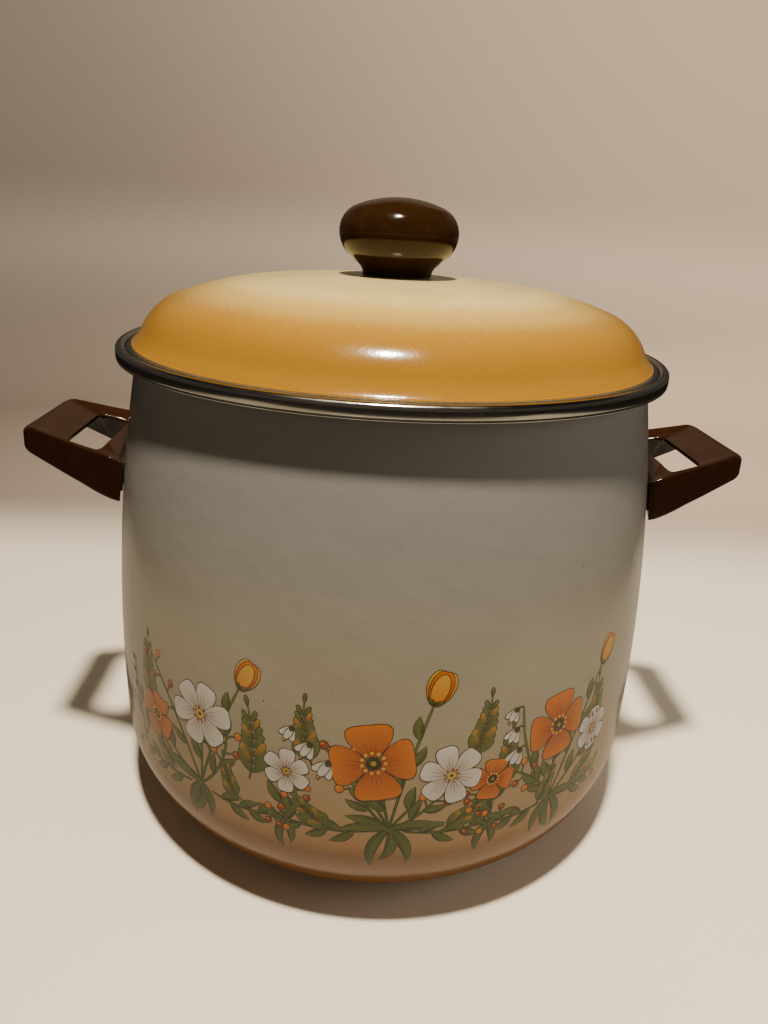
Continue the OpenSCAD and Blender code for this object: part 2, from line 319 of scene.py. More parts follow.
def dome(inset):
    """The three arcs of the lid, drawn in by the inset, from the hole out to the shoulder."""
    hole_angle = math.degrees(math.asin(LID_HOLE / (CROWN_ARC - inset)))
    crown = arc(crown_centre, CROWN_ARC - inset, hole_angle, CROWN_A, 24)
    mid = arc(mid_centre, MID_ARC - inset, CROWN_A, CROWN_A + MID_A, 24)
    shoulder = arc(shoulder_centre, SHOULDER_ARC - inset, CROWN_A + MID_A, DOME_A, 28)
    return joined(crown, mid, shoulder)


def downhill(degrees):
    """Unit step outward that falls by the given angle below level."""
    a = math.radians(degrees)
    return np.array([math.cos(a), -math.sin(a)])


def flare(start, end, count):
    """A bend from P to Q with one control point C, where the two end lines cross:
    (1 - s)^2 P + 2 s (1 - s) C + s^2 Q."""
    leave, arrive = downhill(DOME_A), downhill(HEM_A)
    control = start + leave * np.linalg.solve(np.column_stack([leave, arrive]), end - start)[0]
    s = np.linspace(0, 1, count)[1:, None]
    return (1 - s) ** 2 * start + 2 * s * (1 - s) * control + s ** 2 * end


def make_lid():
    """Out over the dome, round the hem's folded edge, and back underneath."""
    outside = dome(0)
    inside = dome(SHEET)
    top_edge = np.array([HEM_R - HEM_HALF, HEM_Z + 2 * HEM_HALF])
    low_edge = np.array([HEM_R - HEM_HALF, HEM_Z])
    edge = arc((HEM_R - HEM_HALF, HEM_Z + HEM_HALF), HEM_HALF, 0, 180, 8)
    under = flare(inside[-1], low_edge - [HEM_FOLD, 0], 10)
    outline = joined(outside, flare(outside[-1], top_edge, 14), edge, under[::-1], inside[::-1])
    return turned("domed_lid", outline)


lid = make_lid()


# %% Turn the lid's ring
def make_lid_ring():
    """A flat steel ring with a rounded outer edge, turned from its section."""
    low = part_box("lid_rim_band")[0][2]
    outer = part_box("lid_rim_band")[1][0]
    half = (HEM_Z - low) / 2
    edge = arc((outer - half, low + half), half, 0, 180, 12)
    outline = joined([LID_RING_IN, low + 2 * half], edge, [LID_RING_IN, low])
    return turned("lid_ring", outline, sharp=50)


lid_ring = make_lid_ring()

# %% [markdown]
# ## The knob
# The knob is a phenolic moulding: a low crown, a fat round edge, a crease where the head meets
# the neck, and a waist that runs down to the foot. It could be sculpted from a sphere, but the
# mould was turned on a lathe, so its outline of four arcs is turned too.

# %% Turn the knob
KNOB_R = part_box("knob")[1][0]
KNOB_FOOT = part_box("knob")[0][2]
KNOB_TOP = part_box("knob")[1][2]
KNOB_WIDE = KNOB_FOOT + 19 * MM
EDGE_ARC = 12.5 * MM
BELOW_ARC = 13.6 * MM
WAIST_ARC, WAIST_A = 6 * MM, 46
FOOT_R = 16.4 * MM
CREASE_H = 7.8 * MM
GROOVE_DEEP, GROOVE_A = 0.07 * MM, 1
RECESS_R, RECESS_H = 12.2 * MM, 0.9 * MM


def make_knob():
    """Crown, edge, a fine parting groove, underside and waist; a flat foot with a gasket recess.
    The crown's arc touches the edge's: R = (across^2 + rise^2 - e^2) / (2 (rise - e))."""
    across = KNOB_R - EDGE_ARC
    rise = KNOB_TOP - KNOB_WIDE
    crown_arc = (across ** 2 + rise ** 2 - EDGE_ARC ** 2) / (2 * (rise - EDGE_ARC))
    crown_z = KNOB_TOP - crown_arc
    edge_a = math.degrees(math.atan2(across, KNOB_WIDE - crown_z))
    crease_a = 90 + math.degrees(math.asin((KNOB_WIDE - KNOB_FOOT - CREASE_H) / BELOW_ARC))
    recess_z = KNOB_FOOT + RECESS_H
    outline = joined(
        arc((0, crown_z), crown_arc, 0, edge_a, 24),
        arc((across, KNOB_WIDE), EDGE_ARC, edge_a, 90 - GROOVE_A, 28),
        [KNOB_R - GROOVE_DEEP, KNOB_WIDE],
        arc((KNOB_R - BELOW_ARC, KNOB_WIDE), BELOW_ARC, 90 + GROOVE_A, crease_a, 24),
        arc((FOOT_R + WAIST_ARC, KNOB_FOOT), WAIST_ARC, -WAIST_A, -90, 14),
        [[RECESS_R, KNOB_FOOT], [RECESS_R, recess_z], [0, recess_z]])
    return turned("knob_head", outline, rows=192, closed=False, sharp=30)


knob = make_knob()

# %% [markdown]
# ## The loop handles
# Each handle is one phenolic moulding: a bar against the pot, two cheeks that rise outward, and a
# grip, all round one finger opening. It could be cut from a block with booleans and bevels, but
# the cheeks are dished, the grip is hollow below and every edge has its own softness. So four
# rails are drawn round the loop: the upper and lower edge at the opening, and the upper and lower
# edge outside. At each place along them the section is the four-cornered figure between the
# rails with its corners rounded, and all sections together make the surface.

# %% Heights of the handle
HANDLE_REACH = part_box("right_handle")[1][0]
TOP_X, TOP_H, TOP_SLOPE = 128 * MM, 184.9 * MM, math.tan(math.radians(13.9))
UNDER_X, UNDER_H, UNDER_SLOPE = 133.5 * MM, 164.35 * MM, math.tan(math.radians(26.7))
ROOT_X, ROOT_H, ROOT_SLOPE = 131 * MM, 164.0 * MM, 0.2
UNDER_SOFT = 1.2 * MM


def handle_top(x):
    """Height of the top face at a distance from the pot's axis: a plane that rises outward."""
    return TOP_H + TOP_SLOPE * (x - TOP_X)


def handle_under(x):
    """Height of the lower edge: the upper one of two lines, eased where they cross:
    (a + b) / 2 + sqrt(((a - b) / 2)^2 + soft^2) - soft / 2."""
    steep = UNDER_H + UNDER_SLOPE * (x - UNDER_X)
    shallow = ROOT_H + ROOT_SLOPE * (x - ROOT_X)
    apart = np.sqrt(((steep - shallow) / 2) ** 2 + UNDER_SOFT ** 2)
    return (steep + shallow) / 2 + apart - UNDER_SOFT / 2


print("grip's top edge at, mm:", round(handle_top(HANDLE_REACH) / MM, 1))

# %% Closed lines in plan
SIDE_COUNT, CORNER_COUNT = 22, 12


def stretch(a, b, count):
    """Straight line of points from a up to, but without, b."""
    a, b = np.array(a), np.array(b)
    return a + (b - a) * (np.arange(count) / count)[:, None]


def quarter(centre, radius, start, end, count):
    """Arc in plan, angles in degrees from +X towards +Y, without its last point."""
    a = np.radians(start + (end - start) * np.arange(count) / count)
    return np.column_stack([centre[0] + radius * np.cos(a), centre[1] + radius * np.sin(a)])


def loop_rail(near, far, half_near, half_far, soft_near, soft_far):
    """A closed four-sided line in plan with rounded corners: near bar, cheek, nose, cheek."""
    n, c = SIDE_COUNT, CORNER_COUNT
    near_y, far_y = half_near - soft_near, half_far - soft_far
    near_x, far_x = near + soft_near, far - soft_far
    return np.vstack([stretch((near, -near_y), (near, near_y), n),
                      quarter((near_x, near_y), soft_near, 180, 90, c),
                      stretch((near_x, half_near), (far_x, half_far), n),
                      quarter((far_x, far_y), soft_far, 90, 0, c),
                      stretch((far, far_y), (far, -far_y), n),
                      quarter((far_x, -far_y), soft_far, 0, -90, c),
                      stretch((far_x, -half_far), (near_x, -half_near), n),
                      quarter((near_x, -near_y), soft_near, -90, -180, c)])


def round_loop(bar, cheek, grip, haste=1):
    """One value per place along the loop: even on each side, eased round each corner. A haste
    below one gives most of the two far corners to the grip's value."""
    n, c = SIDE_COUNT, CORNER_COUNT
    ease = (1 - np.cos(np.pi * np.arange(c) / c)) / 2
    return np.concatenate([
        np.full(n, bar), bar + (cheek - bar) * ease,
        np.full(n, cheek), cheek + (grip - cheek) * ease ** haste,
        np.full(n, grip), cheek + (grip - cheek) * (1 - ease) ** haste,
        np.full(n, cheek), cheek + (bar - cheek) * ease])


print("places along each rail:", len(round_loop(0, 0, 0)))

# %% The four rails
STAND_OFF = 1.5 * MM
WALL_TOP, WALL_LOW = 184.5 * MM, 164 * MM
BAR_X, BAR_CORNER = 129 * MM, 0.3 * MM
ROOT_HALF, NOSE_HALF, NOSE_DEPTH = 40.3 * MM, 29.9 * MM, 13.4 * MM
TOP_CORNER, LOW_CORNER = 5.6 * MM, 4.4 * MM
GAP_IN, GAP_OUT, GAP_HALF, GAP_CORNER = 136 * MM, 154.6 * MM, 26.2 * MM, 6 * MM
HOLLOW_IN, HOLLOW_OUT = GAP_IN + 2.5 * MM, GAP_OUT + 0.3 * MM
HOLLOW_ROOT, HOLLOW_NOSE = GAP_HALF + 8.4 * MM, GAP_HALF + 4.6 * MM
HOLLOW_CORNERS = (4 * MM, 5 * MM)
DISH = 3.7 * MM
LIP = 2.4 * MM
DROOP, DROOP_REACH = 1.8 * MM, 8 * MM
print("opening, mm:", round((GAP_OUT - GAP_IN) / MM, 1), "by", round(2 * GAP_HALF / MM, 1))


def on_wall(plan, z):
    """Moves the points of the near bar onto the line that stands off the pot's wall."""
    wall = side_radius(z) + STAND_OFF
    wall_x = np.sqrt(np.maximum(wall ** 2 - plan[:, 1] ** 2, 0))
    plan[:, 0] += round_loop(1, 0, 0) * (wall_x - plan[:, 0])
    return plan


def handle_rails():
    """The four rails as points in space: opening above, outside above, outside below, opening
    below. Cheeks and grip sink by the dish towards the opening, and the top droops close to the
    pot by DROOP (1 - gap / reach)^2. Inside the grip the hollow ends a lip's height below it."""
    outer_top, outer_low = [
        on_wall(loop_rail(BAR_X, HANDLE_REACH, ROOT_HALF, NOSE_HALF, BAR_CORNER, corner), height)
        for corner, height in ((TOP_CORNER, WALL_TOP), (LOW_CORNER, WALL_LOW))]
    opening = loop_rail(GAP_IN, GAP_OUT, GAP_HALF, GAP_HALF, GAP_CORNER, GAP_CORNER)
    hollow = loop_rail(HOLLOW_IN, HOLLOW_OUT, HOLLOW_ROOT, HOLLOW_NOSE, *HOLLOW_CORNERS)
    gap = np.hypot(outer_top[:, 0], outer_top[:, 1]) - side_radius(WALL_TOP) - STAND_OFF
    droop = DROOP * np.clip(1 - gap / DROOP_REACH, 0, 1) ** 2
    grip = round_loop(0, 0, 1)
    under = handle_under(hollow[:, 0])
    hollow_z = under + grip * (handle_top(hollow[:, 0]) - DISH - LIP - under)
    nose_low = grip * (handle_top(HANDLE_REACH) - NOSE_DEPTH)
    outer_low_z = round_loop(1, 1, 0) * handle_under(outer_low[:, 0]) + nose_low
    return [np.column_stack([opening, handle_top(opening[:, 0]) - DISH * round_loop(0, 1, 1)]),
            np.column_stack([outer_top, handle_top(outer_top[:, 0]) - droop]),
            np.column_stack([outer_low, outer_low_z]),
            np.column_stack([hollow, hollow_z])]


# %% Sections between the rails
STEEPEST = 0.9999


def unit(v):
    """Vectors of length one along the last axis."""
    return v / np.linalg.norm(v, axis=-1, keepdims=True)


def rounded_sections(rails, trims, corner_steps=9, side_steps=4):
    """Each corner gives way to the arc that touches both sides a trim length from it: its radius
    is trim * tan(half the corner's angle), its centre lies on the line that halves the corner."""
    parts = []
    count = len(rails)
    for k in range(count):
        corner = rails[k]
        back = unit(rails[k - 1] - corner)
        ahead = unit(rails[(k + 1) % count] - corner)
        trim = trims[k][:, None]
        half_angle = np.arccos(np.clip((back * ahead).sum(-1), -STEEPEST, STEEPEST))[:, None] / 2
        radius = trim * np.tan(half_angle)
        centre = corner + unit(back + ahead) * trim / np.cos(half_angle)
        from_dir = (corner + back * trim - centre) / radius
        to_dir = (corner + ahead * trim - centre) / radius
        sweep = np.pi - 2 * half_angle
        for s in np.linspace(0, 1, corner_steps):
            mix = (np.sin((1 - s) * sweep) * from_dir + np.sin(s * sweep) * to_dir) / np.sin(sweep)
            parts.append(centre + radius * mix)
        end = rails[(k + 1) % count] - ahead * trims[(k + 1) % count][:, None]
        start = parts[-1]
        for s in np.arange(1, side_steps) / side_steps:
            parts.append(start + (end - start) * s)
    return np.stack(parts, axis=1)


# %% Make both handles
TRIMS = [(0.8, 2.4, 0.5, 1), (0.5, 1.2, 5.2, 0.65), (0.5, 1.0, 2.8, 1), (0.8, 0.8, 0.8, 1)]


def make_handle(name, side):
    """All sections along the loop, then turned half a turn about Z for the left-hand handle. Each
    rail has its trims in millimetres on the bar, the cheeks and the grip, and then its haste."""
    trims = [round_loop(*np.array(sizes) * MM, haste) for *sizes, haste in TRIMS]
    points = rounded_sections(handle_rails(), trims) * [side, side, 1]
    faces = grid_faces(points.shape[0], points.shape[1], True, True)
    return mesh_piece(name, points, faces, sharp=40)


right_handle = make_handle("right_loop_handle", 1)
left_handle = make_handle("left_loop_handle", -1)

# %% [markdown]
# ## Which body each piece belongs to
# The pot stands still and the lid lifts off, so the table gives each new piece the body it moves
# with, the CAD node it stands for and the name of its finish. Each piece is attached to its body
# and its CAD node is hidden; the finish name is not read here.

# %% Attach the pieces
DRESS = [(pot, "pot", "pot_shell", "pot_enamel"),
         (rim, "pot", "pot_rim_band", "polished_steel"),
         (right_handle, "pot", "right_handle", "phenolic"),
         (left_handle, "pot", "left_handle", "phenolic"),
         (lid, "lid", "lid_shell", "lid_enamel"),
         (lid_ring, "lid", "lid_rim_band", "polished_steel"),
         (knob, "lid", "knob", "phenolic")]
for piece, body, node, slot in DRESS:
    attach(piece, body)
    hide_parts(node)
    print(piece.name, "rides on the", body, "for", node)

# %% [markdown]
# ## Screw wells
# Each handle is held by two screws from below, and their heads sit in round wells. The wells are
# cut with a Boolean modifier, which keeps the smooth moulding around them as it is. The result is
# read back into the mesh at once, so no modifier and no cutter stays in the scene.

# %% Cut the screw wells
WELL_R = 3.7 * MM
WELL_TOP = 168.2 * MM
WELL_LOW = 150 * MM
SCREW_X = 133 * MM
SCREW_Y = 31 * MM


def cut_wells(handle, side):
    """Two upright cylinders, from below the handle up to the seat of the screw heads."""
    for sign in (-1, 1):
        outline = np.array([[0, WELL_TOP], [WELL_R, WELL_TOP], [WELL_R, WELL_LOW], [0, WELL_LOW]])
        cutter = turned("well_cutter", outline, rows=48, closed=False)
        cutter.data.transform(Matrix.Translation((side * SCREW_X, sign * SCREW_Y, 0)))
        cut = handle.modifiers.new("well", "BOOLEAN")
        cut.object = cutter
        cut.solver = "EXACT"
        bpy.context.view_layer.update()
        graph = bpy.context.evaluated_depsgraph_get()
        handle.data = bpy.data.meshes.new_from_object(handle.evaluated_get(graph))
        handle.modifiers.clear()
        bpy.data.objects.remove(cutter)
    handle.data.name = handle.name
    print(handle.name, "faces with wells:", len(handle.data.polygons))


cut_wells(right_handle, 1)
cut_wells(left_handle, -1)

# %% [markdown]
# ## The flower print
# The front carries a fired transfer: poppies, windflowers, tulips, bells, berries and feathery
# twigs on lance-leaved stems. A picture could be projected on the wall, but drawn shapes stay
# sharp at any distance. Each petal, leaf and stem is the same thing, a blade: a bent centre line
# with a width that swells and tapers. Blades are drawn flat, in millimetres across (u) and up (v).
# Most lie on a dark copy that is a little larger, which gives the inked outline. Then the whole
# drawing is wrapped on the wall, and every layer stands 0.01 mm above the one below.

# %% Draw with blades
PRINT_LIFT = 0.02 * MM
LAYERS = 18
LAYER_STEP = (PRINT_THICK - PRINT_LIFT) / LAYERS
GLAZE_DIP = 0.03 * MM
FINEST_EDGE = 0.002 * MM
INK_LINE = 0.32
VEIN_LINE = 0.42
STRAIGHT = 1e-6
INK = (0.030, 0.012, 0.005)
WHITE, CREAM = (0.60, 0.56, 0.50), (0.46, 0.38, 0.27)
ORANGE, RUST = (0.56, 0.15, 0.010), (0.27, 0.045, 0.004)
OCHRE, GOLD = (0.40, 0.20, 0.020), (0.56, 0.33, 0.045)
LEAF, MOSS, LIME = (0.040, 0.060, 0.012), (0.018, 0.028, 0.007), (0.12, 0.135, 0.025)
sheets = []


def blade(root, lean, length, width, fat=0.6, tip=0.35, bend=0.0, along=0, across=0):
    """Grid over s along and t across: centre line (root, lean + bend s), half width
    proportional to s^fat (1 - s)^tip. Angles are degrees away from straight up."""
    along = along or (15 if length > 7 else 9)
    across = across or (7 if width > 8 else 3)
    s = ((1 - np.cos(np.linspace(0, np.pi, along))) / 2)[:, None]
    t = np.linspace(-1, 1, across)[None, :]
    lean, bend = math.radians(lean), math.radians(bend) or STRAIGHT
    line_u = root[0] + length / bend * (math.cos(lean) - np.cos(lean + bend * s))
    line_v = root[1] + length / bend * (np.sin(lean + bend * s) - math.sin(lean))
    peak = fat / (fat + tip)
    half = width / 2 * s ** fat * (1 - s) ** tip / (peak ** fat * (1 - peak) ** tip)
    u = line_u + t * half * np.cos(lean + bend * s)
    v = line_v - t * half * np.sin(lean + bend * s)
    return np.stack([u, v], axis=-1), s, t


print("layer step, mm:", round(LAYER_STEP / MM, 3))


# %% Lay blades on layers
def lay(grid, layer, first, last=None, shade=0.0):
    """Keeps a blade with its colours: first at the root, last at the tip, one half darker."""
    points, s, t = grid
    mix = np.broadcast_to(s ** 0.7, points.shape[:2])[..., None]
    colour = np.array(first) * (1 - mix) + np.array(last or first) * mix
    colour = colour * (1 - shade * np.broadcast_to(t > 0, points.shape[:2])[..., None])
    sheets.append((points, colour, layer))


def inked(root, lean, length, width, layer, first, last=None, shade=0.0, **shape):
    """A blade above its own dark copy, which is one ink line larger all round."""
    a = math.radians(lean)
    back = (root[0] - INK_LINE * math.sin(a), root[1] - INK_LINE * math.cos(a))
    lay(blade(back, lean, length + 2 * INK_LINE, width + 2 * INK_LINE, **shape), layer, INK)
    lay(blade(root, lean, length, width, **shape), layer + 1, first, last, shade)


def dot(at, across, layer, colour, rim=None):
    """A round spot: a blade as long as it is wide, with square-root ends."""
    if rim:
        wide = across + 2 * INK_LINE
        lay(blade((at[0], at[1] - wide / 2), 0, wide, wide, 0.5, 0.5), layer, rim)
    lay(blade((at[0], at[1] - across / 2), 0, across, across, 0.5, 0.5), layer + 1, colour)


def polar(centre, lean, out):
    """The point at a distance from a centre, in a direction given away from straight up."""
    a = math.radians(lean)
    return (centre[0] + out * math.sin(a), centre[1] + out * math.cos(a))


# %% Draw the flowers
FLOWER_LAYER = 6
CORE_LAYER = FLOWER_LAYER + 9


def corolla(centre, size, turn, petals, wide, colours, vein, tip):
    """Petals in a ring; neighbours lie on three levels in turn, so that each overlaps the next."""
    for k in range(petals):
        lean = turn + 360 / petals * k
        layer = FLOWER_LAYER + 3 * (k % 3)
        root = polar(centre, lean, size * 0.06)
        uneven = 1 + 0.05 * math.sin(2.3 * k + turn)
        inked(root, lean, size * 0.45 * uneven, size * wide, layer, *colours, fat=0.75, tip=tip)
        for side in (-1, 0, 1):
            fan = lean + side * 13
            start = polar(centre, fan, size * 0.10)
            length = size * (0.27 - 0.05 * abs(side))
            lay(blade(start, fan, length, VEIN_LINE, 0.3, 0.9, along=9, across=3), layer + 2, vein)


def poppy(centre, size, turn):
    """Four broad orange petals, a dark heart, and a ring of ochre anthers."""
    corolla(centre, size, turn, 4, 0.56, (RUST, ORANGE), RUST, 0.24)
    dot(centre, size * 0.17, CORE_LAYER, MOSS, INK)
    for k in range(11):
        dot(polar(centre, 360 / 11 * k + turn, size * 0.14), size * 0.045, CORE_LAYER + 1, GOLD)
    dot(centre, size * 0.07, CORE_LAYER + 2, OCHRE)


def windflower(centre, size, turn):
    """Six rounded white petals with grey veins and a small gold button."""
    corolla(centre, size, turn, 6, 0.34, (CREAM, WHITE), (0.24, 0.19, 0.15), 0.30)
    dot(centre, size * 0.15, CORE_LAYER, GOLD, INK)
    for k in range(9):
        dot(polar(centre, 40 * k, size * 0.115), size * 0.035, CORE_LAYER + 1, RUST)
    dot(centre, size * 0.06, CORE_LAYER + 2, LEAF)


def tulip(root, size, lean):
    """Side view: two outer petals that curl apart behind one broad middle petal."""
    for side in (-1, 1):
        inked(root, lean + side * 26, size, size * 0.46, FLOWER_LAYER, RUST, GOLD,
              fat=0.6, tip=0.6, bend=-side * 30)
        inked(root, lean + side * 11, size * 0.98, size * 0.5, FLOWER_LAYER + 3, RUST, ORANGE,
              fat=0.55, tip=0.55, bend=-side * 14)
    inked(root, lean, size * 0.88, size * 0.46, FLOWER_LAYER + 6, ORANGE, GOLD, fat=0.5, tip=0.5)
    for side in (-1, 1):
        inked(root, lean + side * 60, size * 0.26, size * 0.10, CORE_LAYER, MOSS, LIME,
              fat=0.6, tip=0.9)


def bell(root, size, lean):
    """Side view of a hanging bell: three lobes that flare, below a small green cap."""
    for side, layer in ((-1, 0), (1, 0), (0, 3)):
        inked(root, lean + side * 17, size, size * 0.42, FLOWER_LAYER + layer, CREAM, WHITE,
              fat=0.45, tip=0.45, bend=side * 26)
    inked(root, lean, size * 0.26, size * 0.28, CORE_LAYER, MOSS, LEAF, fat=0.5, tip=0.6)
    dot(polar(root, lean, size * 1.06), size * 0.12, CORE_LAYER, GOLD, INK)


# %% Draw stems, leaves and berries
def stem(root, lean, length, bend, width=0.9):
    """A thin green blade on a wider dark one; returns the function that finds places on it."""
    lay(blade(root, lean, length, width + 0.5, 0.12, 0.12, bend, along=25, across=3), 0, MOSS)
    lay(blade(root, lean, length, width, 0.12, 0.12, bend, along=25, across=3), 1, LEAF, LIME)

    def at(share):
        """Place (u, v) and lean at a share of the stem's length."""
        a, b = math.radians(lean), math.radians(bend) or STRAIGHT
        u = root[0] + length / b * (math.cos(a) - math.cos(a + b * share))
        v = root[1] + length / b * (math.sin(a + b * share) - math.sin(a))
        return (u, v), lean + bend * share
    return at


def leaf(root, lean, length, width, bend=0.0):
    """A lance leaf: one half darker, and a pale midrib that follows its bend."""
    inked(root, lean, length, width, 2, LEAF, LIME, shade=0.45, fat=0.75, tip=0.95, bend=bend)
    lay(blade(root, lean, length * 0.86, VEIN_LINE, 0.2, 0.8, bend, across=3), 4, LIME)


def leafy(at, shares, length, width, spread=48, curl=-34):
    """Leaves by turns left and right along a stem, shorter towards its tip."""
    for k, share in enumerate(shares):
        place, lean = at(share)
        side = 1 if k % 2 else -1
        leaf(place, lean + side * spread, length * (1.15 - 0.5 * share), width, bend=side * curl)


def berries(at, shares, size):
    """Round berries on short stalks, each with a pale glint."""
    for k, share in enumerate(shares):
        place, lean = at(share)
        side = 1 if k % 2 else -1
        way = lean + side * 52
        stem(place, way, size * 1.5, side * 20, 0.5)
        centre = polar(place, way + side * 10, size * 1.9)
        dot(centre, size, 4, RUST if k % 3 else ORANGE, INK)
        dot(polar(centre, -40, size * 0.22), size * 0.26, 6, GOLD)


def bells(at, size):
    """Three bells that shrink towards the tip, each on a short stalk that bends over."""
    for share, scale in ((0.66, 1.0), (0.84, 0.9), (1.0, 0.8)):
        place, way = at(share)
        side = 1 if way > 0 else -1
        stalk = stem(place, way + side * 60, 3.2, side * 50, 0.5)
        bell(stalk(1.0)[0], size * scale, side * 150)


# %% Draw whole sprays
LEAVES = {"poppy": ((0.30, 0.55), 13, 4.6), "windflower": ((0.36, 0.62), 12, 4.2),
          "tulip": ((0.34, 0.52, 0.74), 13, 4.0, 36), "bells": ((0.25, 0.42), 12, 3.8, 40),
          "berries": ((0.3, 0.5), 11, 3.4)}


def spray(foot, plan):
    """Stems from one foot: each entry is (lean, length, bend, what grows at the tip, its size)."""
    for lean, length, bend, kind, size in plan:
        at = stem(foot, lean, length, bend)
        leafy(at, *LEAVES[kind])
        tip, tip_lean = at(1.0)
        if kind == "poppy":
            poppy(tip, size, lean)
        elif kind == "windflower":
            windflower(tip, size, lean + 12)
        elif kind == "tulip":
            tulip(tip, size, tip_lean)
        elif kind == "bells":
            bells(at, size)
        else:
            berries(at, (0.55, 0.68, 0.80, 0.90, 1.0), size)


def tuft(foot, leans, length, width=3.6):
    """Long leaves that fan out from one foot."""
    for k, lean in enumerate(leans):
        leaf(foot, lean, length * (1 - 0.1 * (k % 3)), width, bend=lean * 0.55)


def sprig(root, lean, length, bend, pairs=7):
    """A feathery twig: pairs of small lobed leaves that shrink towards a leaf at the tip."""
    at = stem(root, lean, length, bend, 0.6)
    for k in range(pairs):
        place, way = at(0.12 + 0.80 * k / pairs)
        long = length * 0.30 * (1.05 - 0.6 * k / pairs)
        for side in (-1, 1):
            colours = (LEAF, LIME) if (k + side) % 3 else (MOSS, OCHRE)
            inked(place, way + side * 46, long, long * 0.34, 2, *colours,
                  fat=0.9, tip=0.45, bend=-side * 26)
    tip, way = at(1.0)
    inked(tip, way, length * 0.13, length * 0.05, 2, LEAF, LIME, fat=0.8, tip=0.6)


def trail(root, lean, length, bend, size):
    """A low leafy runner that ends in berries and ties two sprays together."""
    at = stem(root, lean, length, bend)
    leafy(at, (0.16, 0.30, 0.44, 0.58, 0.72), 11, 3.6, 44)
    berries(at, (0.80, 0.90, 1.0), size)


# %% Compose the border
spray((2, 60), [(-10, 34, -6, "poppy", 34), (34, 36, 18, "windflower", 27),
                (10, 62, 8, "tulip", 15), (-44, 44, 30, "berries", 3.6),
                (-24, 62, -30, "bells", 8.5), (66, 34, -40, "berries", 3.2)])
spray((-84, 61), [(6, 36, -10, "windflower", 31), (-66, 37, 20, "poppy", 22),
                  (16, 60, 10, "tulip", 14), (50, 38, -52, "berries", 3.4),
                  (-22, 62, -24, "berries", 3.2)])
spray((78, 60), [(-4, 38, 6, "poppy", 30), (50, 36, -10, "windflower", 22),
                 (-40, 58, 36, "bells", 8.0), (18, 64, 14, "tulip", 14),
                 (-30, 30, -30, "berries", 3.2)])
spray((-128, 62), [(-20, 38, 14, "bells", 7.5), (28, 26, -10, "berries", 3.0)])
spray((-42, 58), [(-10, 26, 24, "windflower", 20), (30, 20, -30, "berries", 2.8)])
spray((45, 57), [(10, 24, -20, "poppy", 19), (-30, 18, 20, "berries", 2.8)])
TRAILS = [(8, 100, 42, -22), (-6, -98, 40, 20), (72, -102, 34, 26),
          (84, 100, 28, -24), (-78, 100, 34, -24), (-90, -100, 42, 22)]
SPRIGS = [((-118, 84), -16, 34, 20), ((-58, 74), 12, 36, -26), ((-30, 88), -20, 30, 24),
          ((34, 92), 26, 30, -24), ((54, 74), -14, 30, 22), ((100, 78), 18, 34, -22),
          ((-100, 60), -60, 26, 30), ((90, 60), 62, 24, -30), ((-20, 58), -64, 24, 24),
          ((24, 58), 62, 24, -26), ((70, 58), 30, 22, -20), ((-64, 60), -28, 22, 20)]
for u, *way in TRAILS:
    trail((u, 59), *way, 2.8)
for place, *way in SPRIGS:
    sprig(place, *way)
tuft((2, 60), (-128, -74, -56, 70, 122, 150), 24, 4.6)
tuft((-84, 61), (-130, -66, 128, 160), 22, 4.4)
tuft((78, 60), (-150, -120, 78, 130), 22, 4.4)
tuft((-42, 58), (-56, 24, 130, -140), 15, 3.4)
tuft((45, 57), (-52, 56, 132, -128), 15, 3.4)
print("blades:", len(sheets))


# %% Wrap the drawing on the wall
def on_pot(u, v, lift):
    """Above the heel, v is the height. Below it v runs along the heel's arc, whose angle is
    (HEEL_Z - v) / HEEL_ARC. Round the axis the angle is u / BELLY_R. The lift is along the
    wall's normal."""
    below = np.maximum(HEEL_Z - v, 0) / HEEL_ARC
    above = np.maximum(v, HEEL_Z)
    slope = np.where(v < HEEL_Z, np.sin(-below), (above - BELLY_Z) / SIDE_ARC)
    r = np.where(v < HEEL_Z, heel_centre[0] + HEEL_ARC * np.cos(below), side_radius(above))
    z = np.where(v < HEEL_Z, HEEL_Z - HEEL_ARC * np.sin(below), above)
    r = r + lift * np.sqrt(1 - slope ** 2)
    z = z + lift * slope
    around = u / BELLY_R
    return np.stack([r * np.sin(around), -r * np.cos(around), z], axis=-1)


def edged(grid):
    """The grid with its first and last column twice, for the edges that dip."""
    return np.concatenate([grid[:, :1], grid, grid[:, -1:]], axis=1)


def make_print(name):
    """All blades in one mesh; the long edges of each dip below the glaze, so none of it floats.
    The wrap turns a grid over, so its corners are numbered backwards to face outward."""
    points, colours, faces, used = [], [], [], 0
    for grid, colour, layer in sheets:
        wide = edged(grid) * MM
        rows, columns = wide.shape[:2]
        lift = np.full((rows, columns), PRINT_LIFT + layer * LAYER_STEP)
        lift[:, [0, -1]] = -GLAZE_DIP
        points.append(on_pot(wide[..., 0], wide[..., 1], lift).reshape(-1, 3))
        colours.append(edged(colour).reshape(-1, 3))
        faces.append(grid_faces(rows, columns, False, False)[:, ::-1] + used)
        used += rows * columns
    colours = np.vstack(colours)
    mesh = bpy.data.meshes.new(name)
    mesh.from_pydata(np.vstack(points).tolist(), [], np.vstack(faces).tolist())
    paint = mesh.attributes.new("paint", "FLOAT_COLOR", "POINT")
    paint.data.foreach_set("color", np.column_stack([colours, np.ones(len(colours))]).ravel())
    work = bmesh.new()
    work.from_mesh(mesh)
    bmesh.ops.dissolve_degenerate(work, edges=work.edges, dist=FINEST_EDGE)
    work.to_mesh(mesh)
    work.free()
    middle, normal = face_places(mesh)
    outward = (middle[:, :2] * normal[:, :2]).sum(1) > 0
    print("share of faces that look outward:", round(float(outward.mean()), 3))
    return shown(mesh, 30)


flower_print = make_print("flower_print")
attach(flower_print, "pot")

